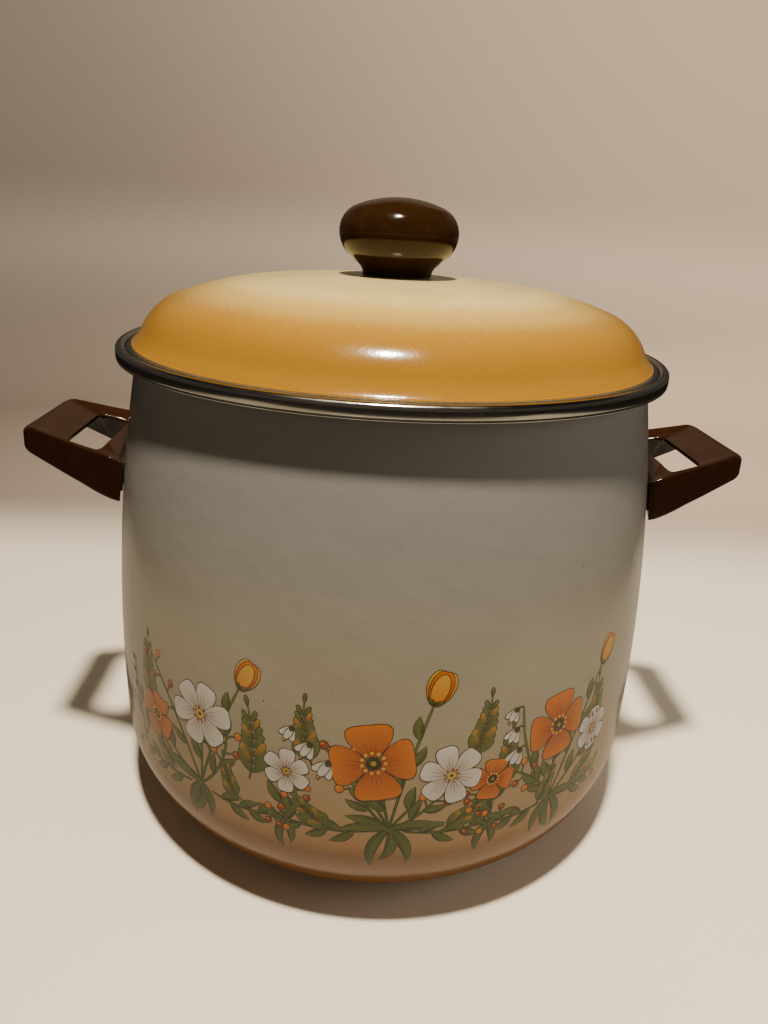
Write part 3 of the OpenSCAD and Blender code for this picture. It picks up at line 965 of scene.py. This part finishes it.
# %% [markdown]
# ## Shader nodes
# A finish is a small graph: something that says where a point lies, some noise, a few sums and one
# shader. Graphs can be drawn by hand in the node editor. In code, short helpers keep them
# readable: one fills a node's inputs with values or links, one adds a node, and the others add the
# nodes that come again and again, for arithmetic, soft steps, mixed colours, noise and bumps.

# %% Helpers for shader nodes
def fill(tree, node, inputs):
    """Gives each input, by its name or number, a value or a link."""
    for key, value in inputs.items():
        if isinstance(value, bpy.types.NodeSocket):
            tree.links.new(value, node.inputs[key])
        else:
            node.inputs[key].default_value = value
    return node


def put(tree, kind, inputs=None, **settings):
    """Adds a node, applies its settings, and fills its inputs."""
    node = tree.nodes.new(kind)
    for key, value in settings.items():
        setattr(node, key, value)
    return fill(tree, node, inputs or {})


def calc(tree, operation, *values, clamp=False):
    """One arithmetic node on sockets or numbers."""
    inputs = dict(enumerate(values))
    return put(tree, "ShaderNodeMath", inputs, operation=operation, use_clamp=clamp).outputs[0]


def between(tree, value, low, high, start=0.0, end=1.0):
    """Smooth step: start below low, end above high."""
    inputs = {"Value": value, "From Min": low, "From Max": high, "To Min": start, "To Max": end}
    return put(tree, "ShaderNodeMapRange", inputs, interpolation_type="SMOOTHSTEP").outputs[0]


def mixed(tree, mask, first, second):
    """The first colour where the mask is 0, the second where it is 1."""
    inputs = {0: mask}
    for index, colour in ((6, first), (7, second)):
        inputs[index] = colour if isinstance(colour, bpy.types.NodeSocket) else (*colour, 1)
    return put(tree, "ShaderNodeMix", inputs, data_type="RGBA").outputs[2]


def noise(tree, place, scale, detail, **more):
    """Noise round one half at a place; more names its other inputs."""
    inputs = {"Vector": place, "Scale": scale, "Detail": detail, **more}
    return put(tree, "ShaderNodeTexNoise", inputs).outputs["Fac"]


def bumped(tree, height, strength, distance):
    """The surface's normal, tipped by a height."""
    inputs = {"Height": height, "Strength": strength, "Distance": distance}
    return put(tree, "ShaderNodeBump", inputs).outputs["Normal"]


def axis_distance(tree, apart):
    """sqrt(x^2 + y^2) from separated coordinates."""
    return calc(tree, "SQRT", calc(tree, "ADD", calc(tree, "MULTIPLY", apart["X"], apart["X"]),
                                   calc(tree, "MULTIPLY", apart["Y"], apart["Y"])))


# %% Helpers for groups and materials
def new_group(name, inputs, outputs):
    """An empty shader group with named sockets: V marks a vector and F a number."""
    kinds = {"V": "NodeSocketVector", "F": "NodeSocketFloat"}
    group = bpy.data.node_groups.new(name, "ShaderNodeTree")
    for label, kind in inputs.items():
        group.interface.new_socket(name=label, in_out="INPUT", socket_type=kinds[kind])
    for label, kind in outputs.items():
        group.interface.new_socket(name=label, in_out="OUTPUT", socket_type=kinds[kind])
    given = group.nodes.new("NodeGroupInput").outputs
    return group, given, group.nodes.new("NodeGroupOutput").inputs


def use_group(tree, group, **values):
    """Places a group in a material and fills its inputs."""
    return put(tree, "ShaderNodeGroup", values, node_tree=group).outputs


def new_material(name):
    """A material with one Principled shader, and the sockets of the object's own coordinates."""
    material = bpy.data.materials.new(name)
    material.use_nodes = True
    tree = material.node_tree
    tree.nodes.clear()
    shader = put(tree, "ShaderNodeBsdfPrincipled")
    put(tree, "ShaderNodeOutputMaterial", {"Surface": shader.outputs[0]})
    place = put(tree, "ShaderNodeTexCoord").outputs["Object"]
    return material, tree, shader, place


# %% [markdown]
# ## Effects that several finishes share
# Enamel, moulding and metal all carry the same few things: a sprayed edge between two colours,
# pinholes in a glaze, the ripple of a fired coat, the marks that handling leaves, and the fine
# rings of a piece that was turned or polished on a spindle. Each is a group, built once.

# %% Groups for the glaze
def build_sprayed_fade():
    """Mask = level, made grainy in mid fade: level + 4 level (1 - level) grain (noise - 1/2)."""
    group, given, result = new_group(
        "sprayed fade", {"Place": "V", "Level": "F", "Droplets": "F", "Grain": "F"}, {"Mask": "F"})
    fine = noise(group, given["Place"], given["Droplets"], 2.0, Roughness=0.7)
    rest = calc(group, "SUBTRACT", 1.0, given["Level"])
    middle = calc(group, "MULTIPLY", calc(group, "MULTIPLY", given["Level"], rest), 4.0)
    wobble = calc(group, "MULTIPLY", calc(group, "SUBTRACT", fine, 0.5), given["Grain"])
    mask = calc(group, "MULTIPLY_ADD", middle, wobble, given["Level"], clamp=True)
    group.links.new(mask, result["Mask"])
    return group


def build_pinholes():
    """Mask = 1 within a random radius of the middle of some cells of a Voronoi pattern."""
    group, given, result = new_group(
        "pinholes", {"Place": "V", "Cells": "F", "Radius": "F", "Share": "F"}, {"Mask": "F"})
    cells = put(group, "ShaderNodeTexVoronoi", {"Vector": given["Place"], "Scale": given["Cells"]})
    chance = put(group, "ShaderNodeSeparateColor", {"Color": cells.outputs["Color"]})
    chosen = calc(group, "LESS_THAN", chance.outputs[0], given["Share"])
    size = calc(group, "MULTIPLY", given["Radius"], calc(group, "ADD", chance.outputs[1], 0.3))
    shape = between(group, cells.outputs["Distance"], size, calc(group, "MULTIPLY", size, 0.5))
    group.links.new(calc(group, "MULTIPLY", chosen, shape), result["Mask"])
    return group


def build_fired_ripple():
    """Height = broad swells + fine orange peel, both of noise, each with its own weight."""
    group, given, result = new_group(
        "fired ripple", {"Place": "V", "Swell": "F", "Peel": "F"}, {"Height": "F"})
    swell = noise(group, given["Place"], 70.0, 1.0)
    peel = noise(group, given["Place"], 620.0, 2.0)
    fine = calc(group, "MULTIPLY", peel, given["Peel"])
    height = calc(group, "MULTIPLY_ADD", swell, given["Swell"], fine)
    group.links.new(height, result["Height"])
    return group


sprayed_fade = build_sprayed_fade()
pinholes = build_pinholes()
fired_ripple = build_fired_ripple()
print("glaze groups:", ", ".join(g.name for g in (sprayed_fade, pinholes, fired_ripple)))


# %% Groups for wear and polish
def build_handling_marks():
    """Smudges = soft clouds; Scratches = thin lines where a warped noise crosses 1/2, kept to the
    denser clouds."""
    group, given, result = new_group("handling marks", {"Place": "V", "Cloud": "F", "Line": "F"},
                                     {"Smudges": "F", "Scratches": "F"})
    cloud = noise(group, given["Place"], given["Cloud"], 4.0, Roughness=0.6, Distortion=0.6)
    group.links.new(between(group, cloud, 0.38, 0.66), result["Smudges"])
    line = noise(group, given["Place"], given["Line"], 1.0, Distortion=2.5)
    off = calc(group, "ABSOLUTE", calc(group, "SUBTRACT", line, 0.5))
    thin = between(group, off, 0.006, 0.0)
    some = between(group, cloud, 0.5, 0.62)
    group.links.new(calc(group, "MULTIPLY", thin, some), result["Scratches"])
    return group


def build_spindle_rings():
    """Noise in four dimensions: slow along x and y, fast in height and in distance from Z."""
    group, given, result = new_group(
        "spindle rings", {"Place": "V", "Across": "F", "Along": "F"}, {"Rings": "F"})
    apart = put(group, "ShaderNodeSeparateXYZ", {"Vector": given["Place"]}).outputs
    fast = calc(group, "MULTIPLY", axis_distance(group, apart), given["Across"])
    slow = put(group, "ShaderNodeCombineXYZ", {
        "X": calc(group, "MULTIPLY", apart["X"], given["Along"]),
        "Y": calc(group, "MULTIPLY", apart["Y"], given["Along"]),
        "Z": calc(group, "MULTIPLY", apart["Z"], given["Across"])}).outputs[0]
    inputs = {"Vector": slow, "W": fast, "Scale": 1.0, "Detail": 2.0}
    rings = put(group, "ShaderNodeTexNoise", inputs, noise_dimensions="4D")
    group.links.new(rings.outputs["Fac"], result["Rings"])
    return group


handling_marks = build_handling_marks()
spindle_rings = build_spindle_rings()
print("wear groups:", handling_marks.name + ",", spindle_rings.name)

# %% [markdown]
# ## Enamel
# Enamel is glass fused to steel. Its colour was sprayed on: off-white at the top of the pot, then
# a cream, then a burnt orange round the foot; the lid is cream in the middle and amber at the
# shoulder. Both are one recipe: a ramp of colours along a distance, a grain where one spray fades
# into the next, pinholes and crumbs that fired dark, and a rippled gloss over all of it.

# %% The recipe of an enamel
PEEL = 0.16
GLAZE_BUMP = (0.5, 0.5 * MM)


def colour_ramp(tree, value, stops):
    """A ramp through (place, colour) pairs, with eased steps in between."""
    ramp = put(tree, "ShaderNodeValToRGB", {"Fac": value})
    ramp.color_ramp.interpolation = "EASE"
    elements = ramp.color_ramp.elements
    while len(elements) < len(stops):
        elements.new(0.5)
    for element, (place, colour) in zip(elements, stops):
        element.position = place
        element.color = (*colour, 1)
    return ramp.outputs["Color"]


def share_of(tree, value, low, high):
    """0 at low, 1 at high, in a straight line."""
    inputs = {"Value": value, "From Min": low, "From Max": high}
    return put(tree, "ShaderNodeMapRange", inputs).outputs[0]


def enamel(name, far, span, stops, crumb, grain, speckle, roughness=0.15, swell=1.0):
    """Colour by a distance along the piece, given as a function of the separated coordinates.
    The distance drifts a little with cloudy noise. A dark mist, crumbs and dust lie over the
    colour, and the crumbs dent the gloss."""
    material, tree, shader, place = new_material(name)
    apart = put(tree, "ShaderNodeSeparateXYZ", {"Vector": place}).outputs
    level = share_of(tree, far(tree, apart), *span)
    cloud = noise(tree, place, 22.0, 3.0)
    drift = calc(tree, "MULTIPLY", calc(tree, "SUBTRACT", cloud, 0.5), 0.05)
    level = calc(tree, "ADD", level, drift, clamp=True)
    fade = use_group(tree, sprayed_fade, Place=place, Level=level, Droplets=2600.0, Grain=grain)
    colour = colour_ramp(tree, fade["Mask"], stops)
    mist = between(tree, noise(tree, place, 2100.0, 2.0), 0.54, 0.76, 0.0, speckle)
    colour = mixed(tree, mist, colour, crumb)
    crumbs = use_group(tree, pinholes, Place=place, Cells=160.0, Radius=0.07, Share=0.10)["Mask"]
    dust = use_group(tree, pinholes, Place=place, Cells=520.0, Radius=0.16, Share=0.05)["Mask"]
    dark = calc(tree, "MAXIMUM", crumbs, calc(tree, "MULTIPLY", dust, 0.35))
    colour = mixed(tree, dark, colour, crumb)
    marks = use_group(tree, handling_marks, Place=place, Cloud=26.0, Line=34.0)
    polish = calc(tree, "MULTIPLY_ADD", marks["Smudges"], 0.05, roughness)
    ripple = use_group(tree, fired_ripple, Place=place, Swell=swell, Peel=PEEL)["Height"]
    height = calc(tree, "SUBTRACT", ripple, calc(tree, "MULTIPLY", crumbs, 0.25))
    fill(tree, shader, {"Base Color": colour, "Roughness": polish, "IOR": 1.46,
                        "Normal": bumped(tree, height, *GLAZE_BUMP)})
    return material


# %% Make the three enamels
def height_of(tree, apart):
    """Height above the table."""
    return apart["Z"]


def lid_distance(tree, apart):
    """Distance from the axis plus 0.6 times the drop below the top of the lid."""
    drop = calc(tree, "SUBTRACT", LID_TOP, apart["Z"])
    return calc(tree, "MULTIPLY_ADD", drop, 0.6, axis_distance(tree, apart))


POT_STOPS = [(0.0, (0.26, 0.075, 0.010)), (0.07, (0.38, 0.15, 0.045)),
             (0.18, (0.42, 0.19, 0.065)), (0.32, (0.39, 0.26, 0.135)),
             (0.55, (0.335, 0.29, 0.20)), (1.0, (0.245, 0.238, 0.222))]
LID_STOPS = [(0.0, (0.72, 0.58, 0.26)), (0.37, (0.68, 0.52, 0.19)),
             (0.54, (0.51, 0.33, 0.075)), (0.70, (0.33, 0.165, 0.018)),
             (0.80, (0.29, 0.137, 0.012)), (0.89, (0.33, 0.158, 0.014)),
             (0.95, (0.26, 0.12, 0.010)), (1.0, (0.18, 0.08, 0.006))]
INSIDE_STOPS = [(0.0, (0.42, 0.38, 0.31)), (1.0, (0.46, 0.43, 0.37))]
BURNT = (0.10, 0.035, 0.012)
pot_enamel = enamel("pot enamel", height_of, (0.0, 0.20), POT_STOPS, BURNT, 0.25, 0.10)
lid_enamel = enamel("lid enamel", lid_distance, (0.030, 0.150), LID_STOPS, BURNT, 0.4, 0.42,
                    roughness=0.13, swell=0.45)
inside_enamel = enamel("inside enamel", height_of, (0.0, 0.23), INSIDE_STOPS, BURNT, 0.2, 0.15)
print("enamels:", ", ".join(m.name for m in (pot_enamel, lid_enamel, inside_enamel)))


# %% Colour the fired transfer
def print_colours():
    """The transfer's own colours, a little uneven, under the same rippled glaze as the pot."""
    material, tree, shader, place = new_material("fired transfer")
    colour = put(tree, "ShaderNodeAttribute", attribute_name="paint").outputs["Color"]
    thin = calc(tree, "MULTIPLY", between(tree, noise(tree, place, 420.0, 3.0), 0.5, 0.8), 0.25)
    ripple = use_group(tree, fired_ripple, Place=place, Swell=1.0, Peel=PEEL)["Height"]
    fill(tree, shader, {"Base Color": mixed(tree, thin, colour, (0.30, 0.22, 0.13)),
                        "Roughness": 0.18, "IOR": 1.52,
                        "Normal": bumped(tree, ripple, *GLAZE_BUMP)})
    return material


fired_transfer = print_colours()
print("transfer:", fired_transfer.name)

# %% [markdown]
# ## Steel, brass, resin and fibre
# The rim is a polished stainless strip: a mirror with fine rings from the polishing wheel and a
# few scratches from years of lids. The plain parts share one recipe with other colours and
# coarser grain. A metal is a Principled shader with Metallic at one. Its roughness does the rest.
# The handles, the knob and the gasket share a second recipe, for a moulded or pressed resin.

# %% Mix the metals
RING_RELIEF = 0.1 * MM


def metal(name, colour, stain, roughness, ring_depth, across=2600.0):
    """Rings and smudges change the roughness, the tint and, slightly, the surface."""
    material, tree, shader, place = new_material(name)
    rings = use_group(tree, spindle_rings, Place=place, Across=across, Along=9.0)["Rings"]
    marks = use_group(tree, handling_marks, Place=place, Cloud=40.0, Line=60.0)
    tint = mixed(tree, calc(tree, "MULTIPLY", marks["Smudges"], 0.6), colour, stain)
    polish = calc(tree, "MULTIPLY_ADD", rings, 0.12, roughness)
    polish = calc(tree, "MULTIPLY_ADD", marks["Smudges"], 0.08, polish)
    polish = calc(tree, "MULTIPLY_ADD", marks["Scratches"], 0.05, polish)
    fill(tree, shader, {"Base Color": tint, "Roughness": polish, "Metallic": 1.0,
                        "Normal": bumped(tree, rings, ring_depth, RING_RELIEF)})
    return material


rim_steel = metal("rim steel", (0.52, 0.50, 0.46), (0.38, 0.34, 0.28), 0.08, 0.10)
plain_steel = metal("plain steel", (0.46, 0.45, 0.43), (0.30, 0.27, 0.23), 0.24, 0.25, 1200.0)
zinc_steel = metal("zinc-plated steel", (0.55, 0.55, 0.53), (0.38, 0.36, 0.30), 0.28, 0.20, 900.0)
brass = metal("turned brass", (0.70, 0.48, 0.20), (0.42, 0.25, 0.10), 0.22, 0.25, 900.0)
print("metals:", ", ".join(m.name for m in (rim_steel, plain_steel, zinc_steel, brass)))


# %% Mix the moulding and the fibre
def moulding(name, colour, pale, roughness, pitted, ior=1.40):
    """Moulded resin: faint swirls, rubbed spots, fine pits, and a ripple in its gloss."""
    material, tree, shader, place = new_material(name)
    swirl = noise(tree, place, 90.0, 4.0, Distortion=1.2)
    marks = use_group(tree, handling_marks, Place=place, Cloud=55.0, Line=80.0)
    pits = use_group(tree, pinholes, Place=place, Cells=900.0, Radius=0.22, Share=0.12)["Mask"]
    rubbed = calc(tree, "MULTIPLY", between(tree, swirl, 0.42, 0.68), 0.35)
    rubbed = calc(tree, "MULTIPLY_ADD", marks["Scratches"], 0.5, rubbed)
    polish = calc(tree, "MULTIPLY_ADD", marks["Smudges"], 0.10, roughness)
    polish = calc(tree, "MULTIPLY_ADD", marks["Scratches"], 0.15, polish)
    ripple = use_group(tree, fired_ripple, Place=place, Swell=0.8, Peel=0.10)["Height"]
    height = calc(tree, "SUBTRACT", ripple, calc(tree, "MULTIPLY", pits, pitted))
    fill(tree, shader, {"Base Color": mixed(tree, rubbed, colour, pale), "Roughness": polish,
                        "IOR": ior, "Normal": bumped(tree, height, 0.35, 0.4 * MM)})
    return material


phenolic = moulding("phenolic", (0.021, 0.0076, 0.0028), (0.035, 0.0140, 0.0068), 0.11, 0.10)
knob_phenolic = moulding("polished phenolic", (0.018, 0.0074, 0.0018), (0.030, 0.0132, 0.0046),
                         0.09, 0.10, 1.33)
fibre = moulding("pressed fibre", (0.15, 0.070, 0.036), (0.24, 0.125, 0.070), 0.62, 0.5)
print("resins:", ", ".join(m.name for m in (phenolic, knob_phenolic, fibre)))

# %% [markdown]
# ## Giving out the finishes
# A piece that this script made takes its material as a new slot. The CAD pieces that stay in view
# keep their meshes, and only their slots get a better material. The inside of the pot and of the
# lid is fired in a plain off-white, so the faces that look inward take a second slot.

# %% Dress the new pieces
BASE_ZONE = 3 * MM
HEEL_ZONE = 1.5 * MM
FACES_UP, FACES_IN, FACES_DOWN = 0.2, -0.05, -0.02


def dress(piece, *materials):
    """Fills the piece's slots in order."""
    piece.data.materials.clear()
    for material in materials:
        piece.data.materials.append(material)


def inward_faces(piece, is_inside):
    """Second slot for the faces whose middle and normal pass the test."""
    inside = is_inside(*face_places(piece.data))
    piece.data.polygons.foreach_set("material_index", inside.astype(np.int32))
    print(piece.name, "inward faces:", int(inside.sum()))


def pot_inside(middle, normal):
    """Faces that look towards the axis above the base, or up from it."""
    outward = (middle[:, :2] * normal[:, :2]).sum(1) / np.hypot(middle[:, 0], middle[:, 1])
    on_side = (outward < FACES_IN) & (middle[:, 2] > HEEL_ZONE)
    on_base = (normal[:, 2] > FACES_UP) & (middle[:, 2] < BASE_ZONE)
    return on_side | on_base


def lid_inside(middle, normal):
    """Faces that look down."""
    return normal[:, 2] < FACES_DOWN


dress(pot, pot_enamel, inside_enamel)
dress(lid, lid_enamel, inside_enamel)
inward_faces(pot, pot_inside)
inward_faces(lid, lid_inside)
dress(flower_print, fired_transfer)
for piece in (rim, lid_ring):
    dress(piece, rim_steel)
dress(knob, knob_phenolic)
for piece in (right_handle, left_handle):
    dress(piece, phenolic)

# %% Dress the CAD pieces that stay
PART_FINISH = {"bracket": plain_steel, "washer": zinc_steel, "screw": zinc_steel,
               "gasket": fibre, "insert": brass}
replaced = [node for _, _, node, _ in DRESS]
for node in sorted(set(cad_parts) - set(replaced)):
    finish = next(f for part, f in PART_FINISH.items() if part in node)
    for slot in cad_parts[node].material_slots:
        slot.material = finish
    print(node, "->", finish.name)

# %% [markdown]
# ## Table, room and light
# A photographer would stand the pot on a sweep: a sheet that runs flat under the object and then
# curves up, so that no horizon cuts the picture. This one is turned all the way round, so that it
# serves from every side. It is pale below and behind. Its paint also holds painted light and
# shade: every colour is darker at the left and brighter at the right, and the wall in front is
# painted dark. A real room would be dark in front and to the sides, and the steel and the gloss
# would mirror that. So the paint asks with a Light Path node who is looking: the camera sees the
# pale sheet, a mirrored ray sees a nearly black one except close to the pot, and a ray of bounced
# light sees a grey one.

# %% Turn the sweep
FLAT_R = 0.92
SWEEP_ARC = 0.34
SWEEP_TOP = 1.15


def make_sweep():
    """A flat disc, a quarter circle and a straight wall, turned about Z."""
    bend = arc((FLAT_R, SWEEP_ARC), SWEEP_ARC, 180, 90, 24)
    outline = joined([0, 0], [FLAT_R, 0], bend, [FLAT_R + SWEEP_ARC, SWEEP_TOP])
    return turned("sweep", outline, rows=128, closed=False)


sweep = make_sweep()

# %% Paint the sweep
# Each pair runs from the left (-X) to the right (+X): the brighter right is painted light.
PALE = ((0.80, 0.72, 0.60), (0.97, 0.90, 0.74))
BEIGE = ((0.20, 0.17, 0.145), (0.82, 0.65, 0.51))
# Painted shade: this dark colour is painted on the wall in front, where the room would be dark.
PAINTED_FRONT_SHADE = (0.05, 0.04, 0.032)
UNLIT = (0.006, 0.0055, 0.005)
BOUNCED = ((0.095, 0.090, 0.082), (0.26, 0.25, 0.225))


def sweep_paint():
    """Pale on the flat and beige behind for the camera; nearly black for mirrored rays that miss
    the pot's own surroundings, and grey for bounced light. Painted light and shade: all of it
    grows darker to the left and brighter to the right, and the wall in front is painted dark."""
    material, tree, shader, place = new_material("sweep paint")
    apart = put(tree, "ShaderNodeSeparateXYZ", {"Vector": place}).outputs
    # Painted light: every colour of the sweep darkens to the left and brightens to the right.
    painted_light_to_right = between(tree, apart["X"], -0.9, 0.9)
    beige = mixed(tree, painted_light_to_right, *BEIGE)
    # Painted shade: the wall in front is painted dark; behind the pot it is beige.
    wall = mixed(tree, between(tree, apart["Y"], -0.5, 0.7), PAINTED_FRONT_SHADE, beige)
    behind = between(tree, apart["Y"], 0.22, 0.40)
    away = calc(tree, "MAXIMUM", between(tree, apart["Z"], 0.0, 0.22), behind)
    paint = mixed(tree, away, mixed(tree, painted_light_to_right, *PALE), wall)
    path = put(tree, "ShaderNodeLightPath").outputs
    near = calc(tree, "MULTIPLY", between(tree, apart["Y"], -0.35, -0.32),
                between(tree, calc(tree, "ABSOLUTE", apart["X"]), 0.50, 0.38))
    share = calc(tree, "MULTIPLY", near, between(tree, away, 0.0, 1.0, 0.38, 0.22))
    mirrored = mixed(tree, share, UNLIT, paint)
    other = mixed(tree, path["Is Glossy Ray"], mixed(tree, painted_light_to_right, *BOUNCED), mirrored)
    grain = noise(tree, place, 900.0, 2.0)
    fill(tree, shader, {"Base Color": mixed(tree, path["Is Camera Ray"], other, paint),
                        "Roughness": 0.5, "Normal": bumped(tree, grain, 0.05, 0.3 * MM)})
    return material


dress(sweep, sweep_paint())
sweep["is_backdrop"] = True
print("sweep paint nodes:", len(sweep.data.materials[0].node_tree.nodes))

# %% [markdown]
# ## Lamps
# One round lamp hangs high in front of the pot, as a ceiling lamp does. It is large enough for
# soft edges, and small enough that the rim throws its band of shade on the wall. Two wide weak
# lamps, behind and at the right, and the dim room light keep the other sides readable. Mirrored
# rays don't see the weak ones, so the gloss shows the ceiling lamp alone.

# %% Hang the lamps
LAMP_COLOUR = (1.0, 0.88, 0.70)
DAY_COLOUR = (1.0, 0.93, 0.84)
ROOM_COLOUR = (0.014, 0.012, 0.010)


def lamp(name, at, towards, across, watts, colour, mirrored=True):
    """A round area lamp that looks from one point to another."""
    data = bpy.data.lights.new(name, "AREA")
    data.shape = "DISK"
    data.size = across
    data.energy = watts
    data.color = colour
    holder = bpy.data.objects.new(name, data)
    holder.location = at
    holder.rotation_mode = "QUATERNION"
    holder.rotation_quaternion = (Vector(towards) - Vector(at)).to_track_quat("-Z", "Y")
    holder.visible_glossy = mirrored
    bpy.context.scene.collection.objects.link(holder)
    print(name, "W:", watts)


lamp("ceiling_lamp", (-0.045, -0.35, 1.38), (0, 0, 0.15), 0.10, 38, LAMP_COLOUR)
lamp("back_fill", (0.25, 1.0, 0.45), (0, 0, 0.15), 0.6, 3, LAMP_COLOUR, mirrored=False)
lamp("side_fill", (1.05, -0.25, 0.50), (0, 0, 0.12), 0.6, 2.5, DAY_COLOUR, mirrored=False)
room = bpy.data.worlds.new("room")
room.use_nodes = True
fill(room.node_tree, room.node_tree.nodes["Background"],
     {"Color": (*ROOM_COLOUR, 1), "Strength": 1.0})
bpy.context.scene.world = room

# %% [markdown]
# ## Checking the size
# The box of the dressed pot is set against the box of the CAD model.

# %% Compare the boxes
new_low, new_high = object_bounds()
change = (*(new_low - cad_low), *(new_high - cad_high))
print("change of the box, mm:", [round(v / MM, 2) for v in change])
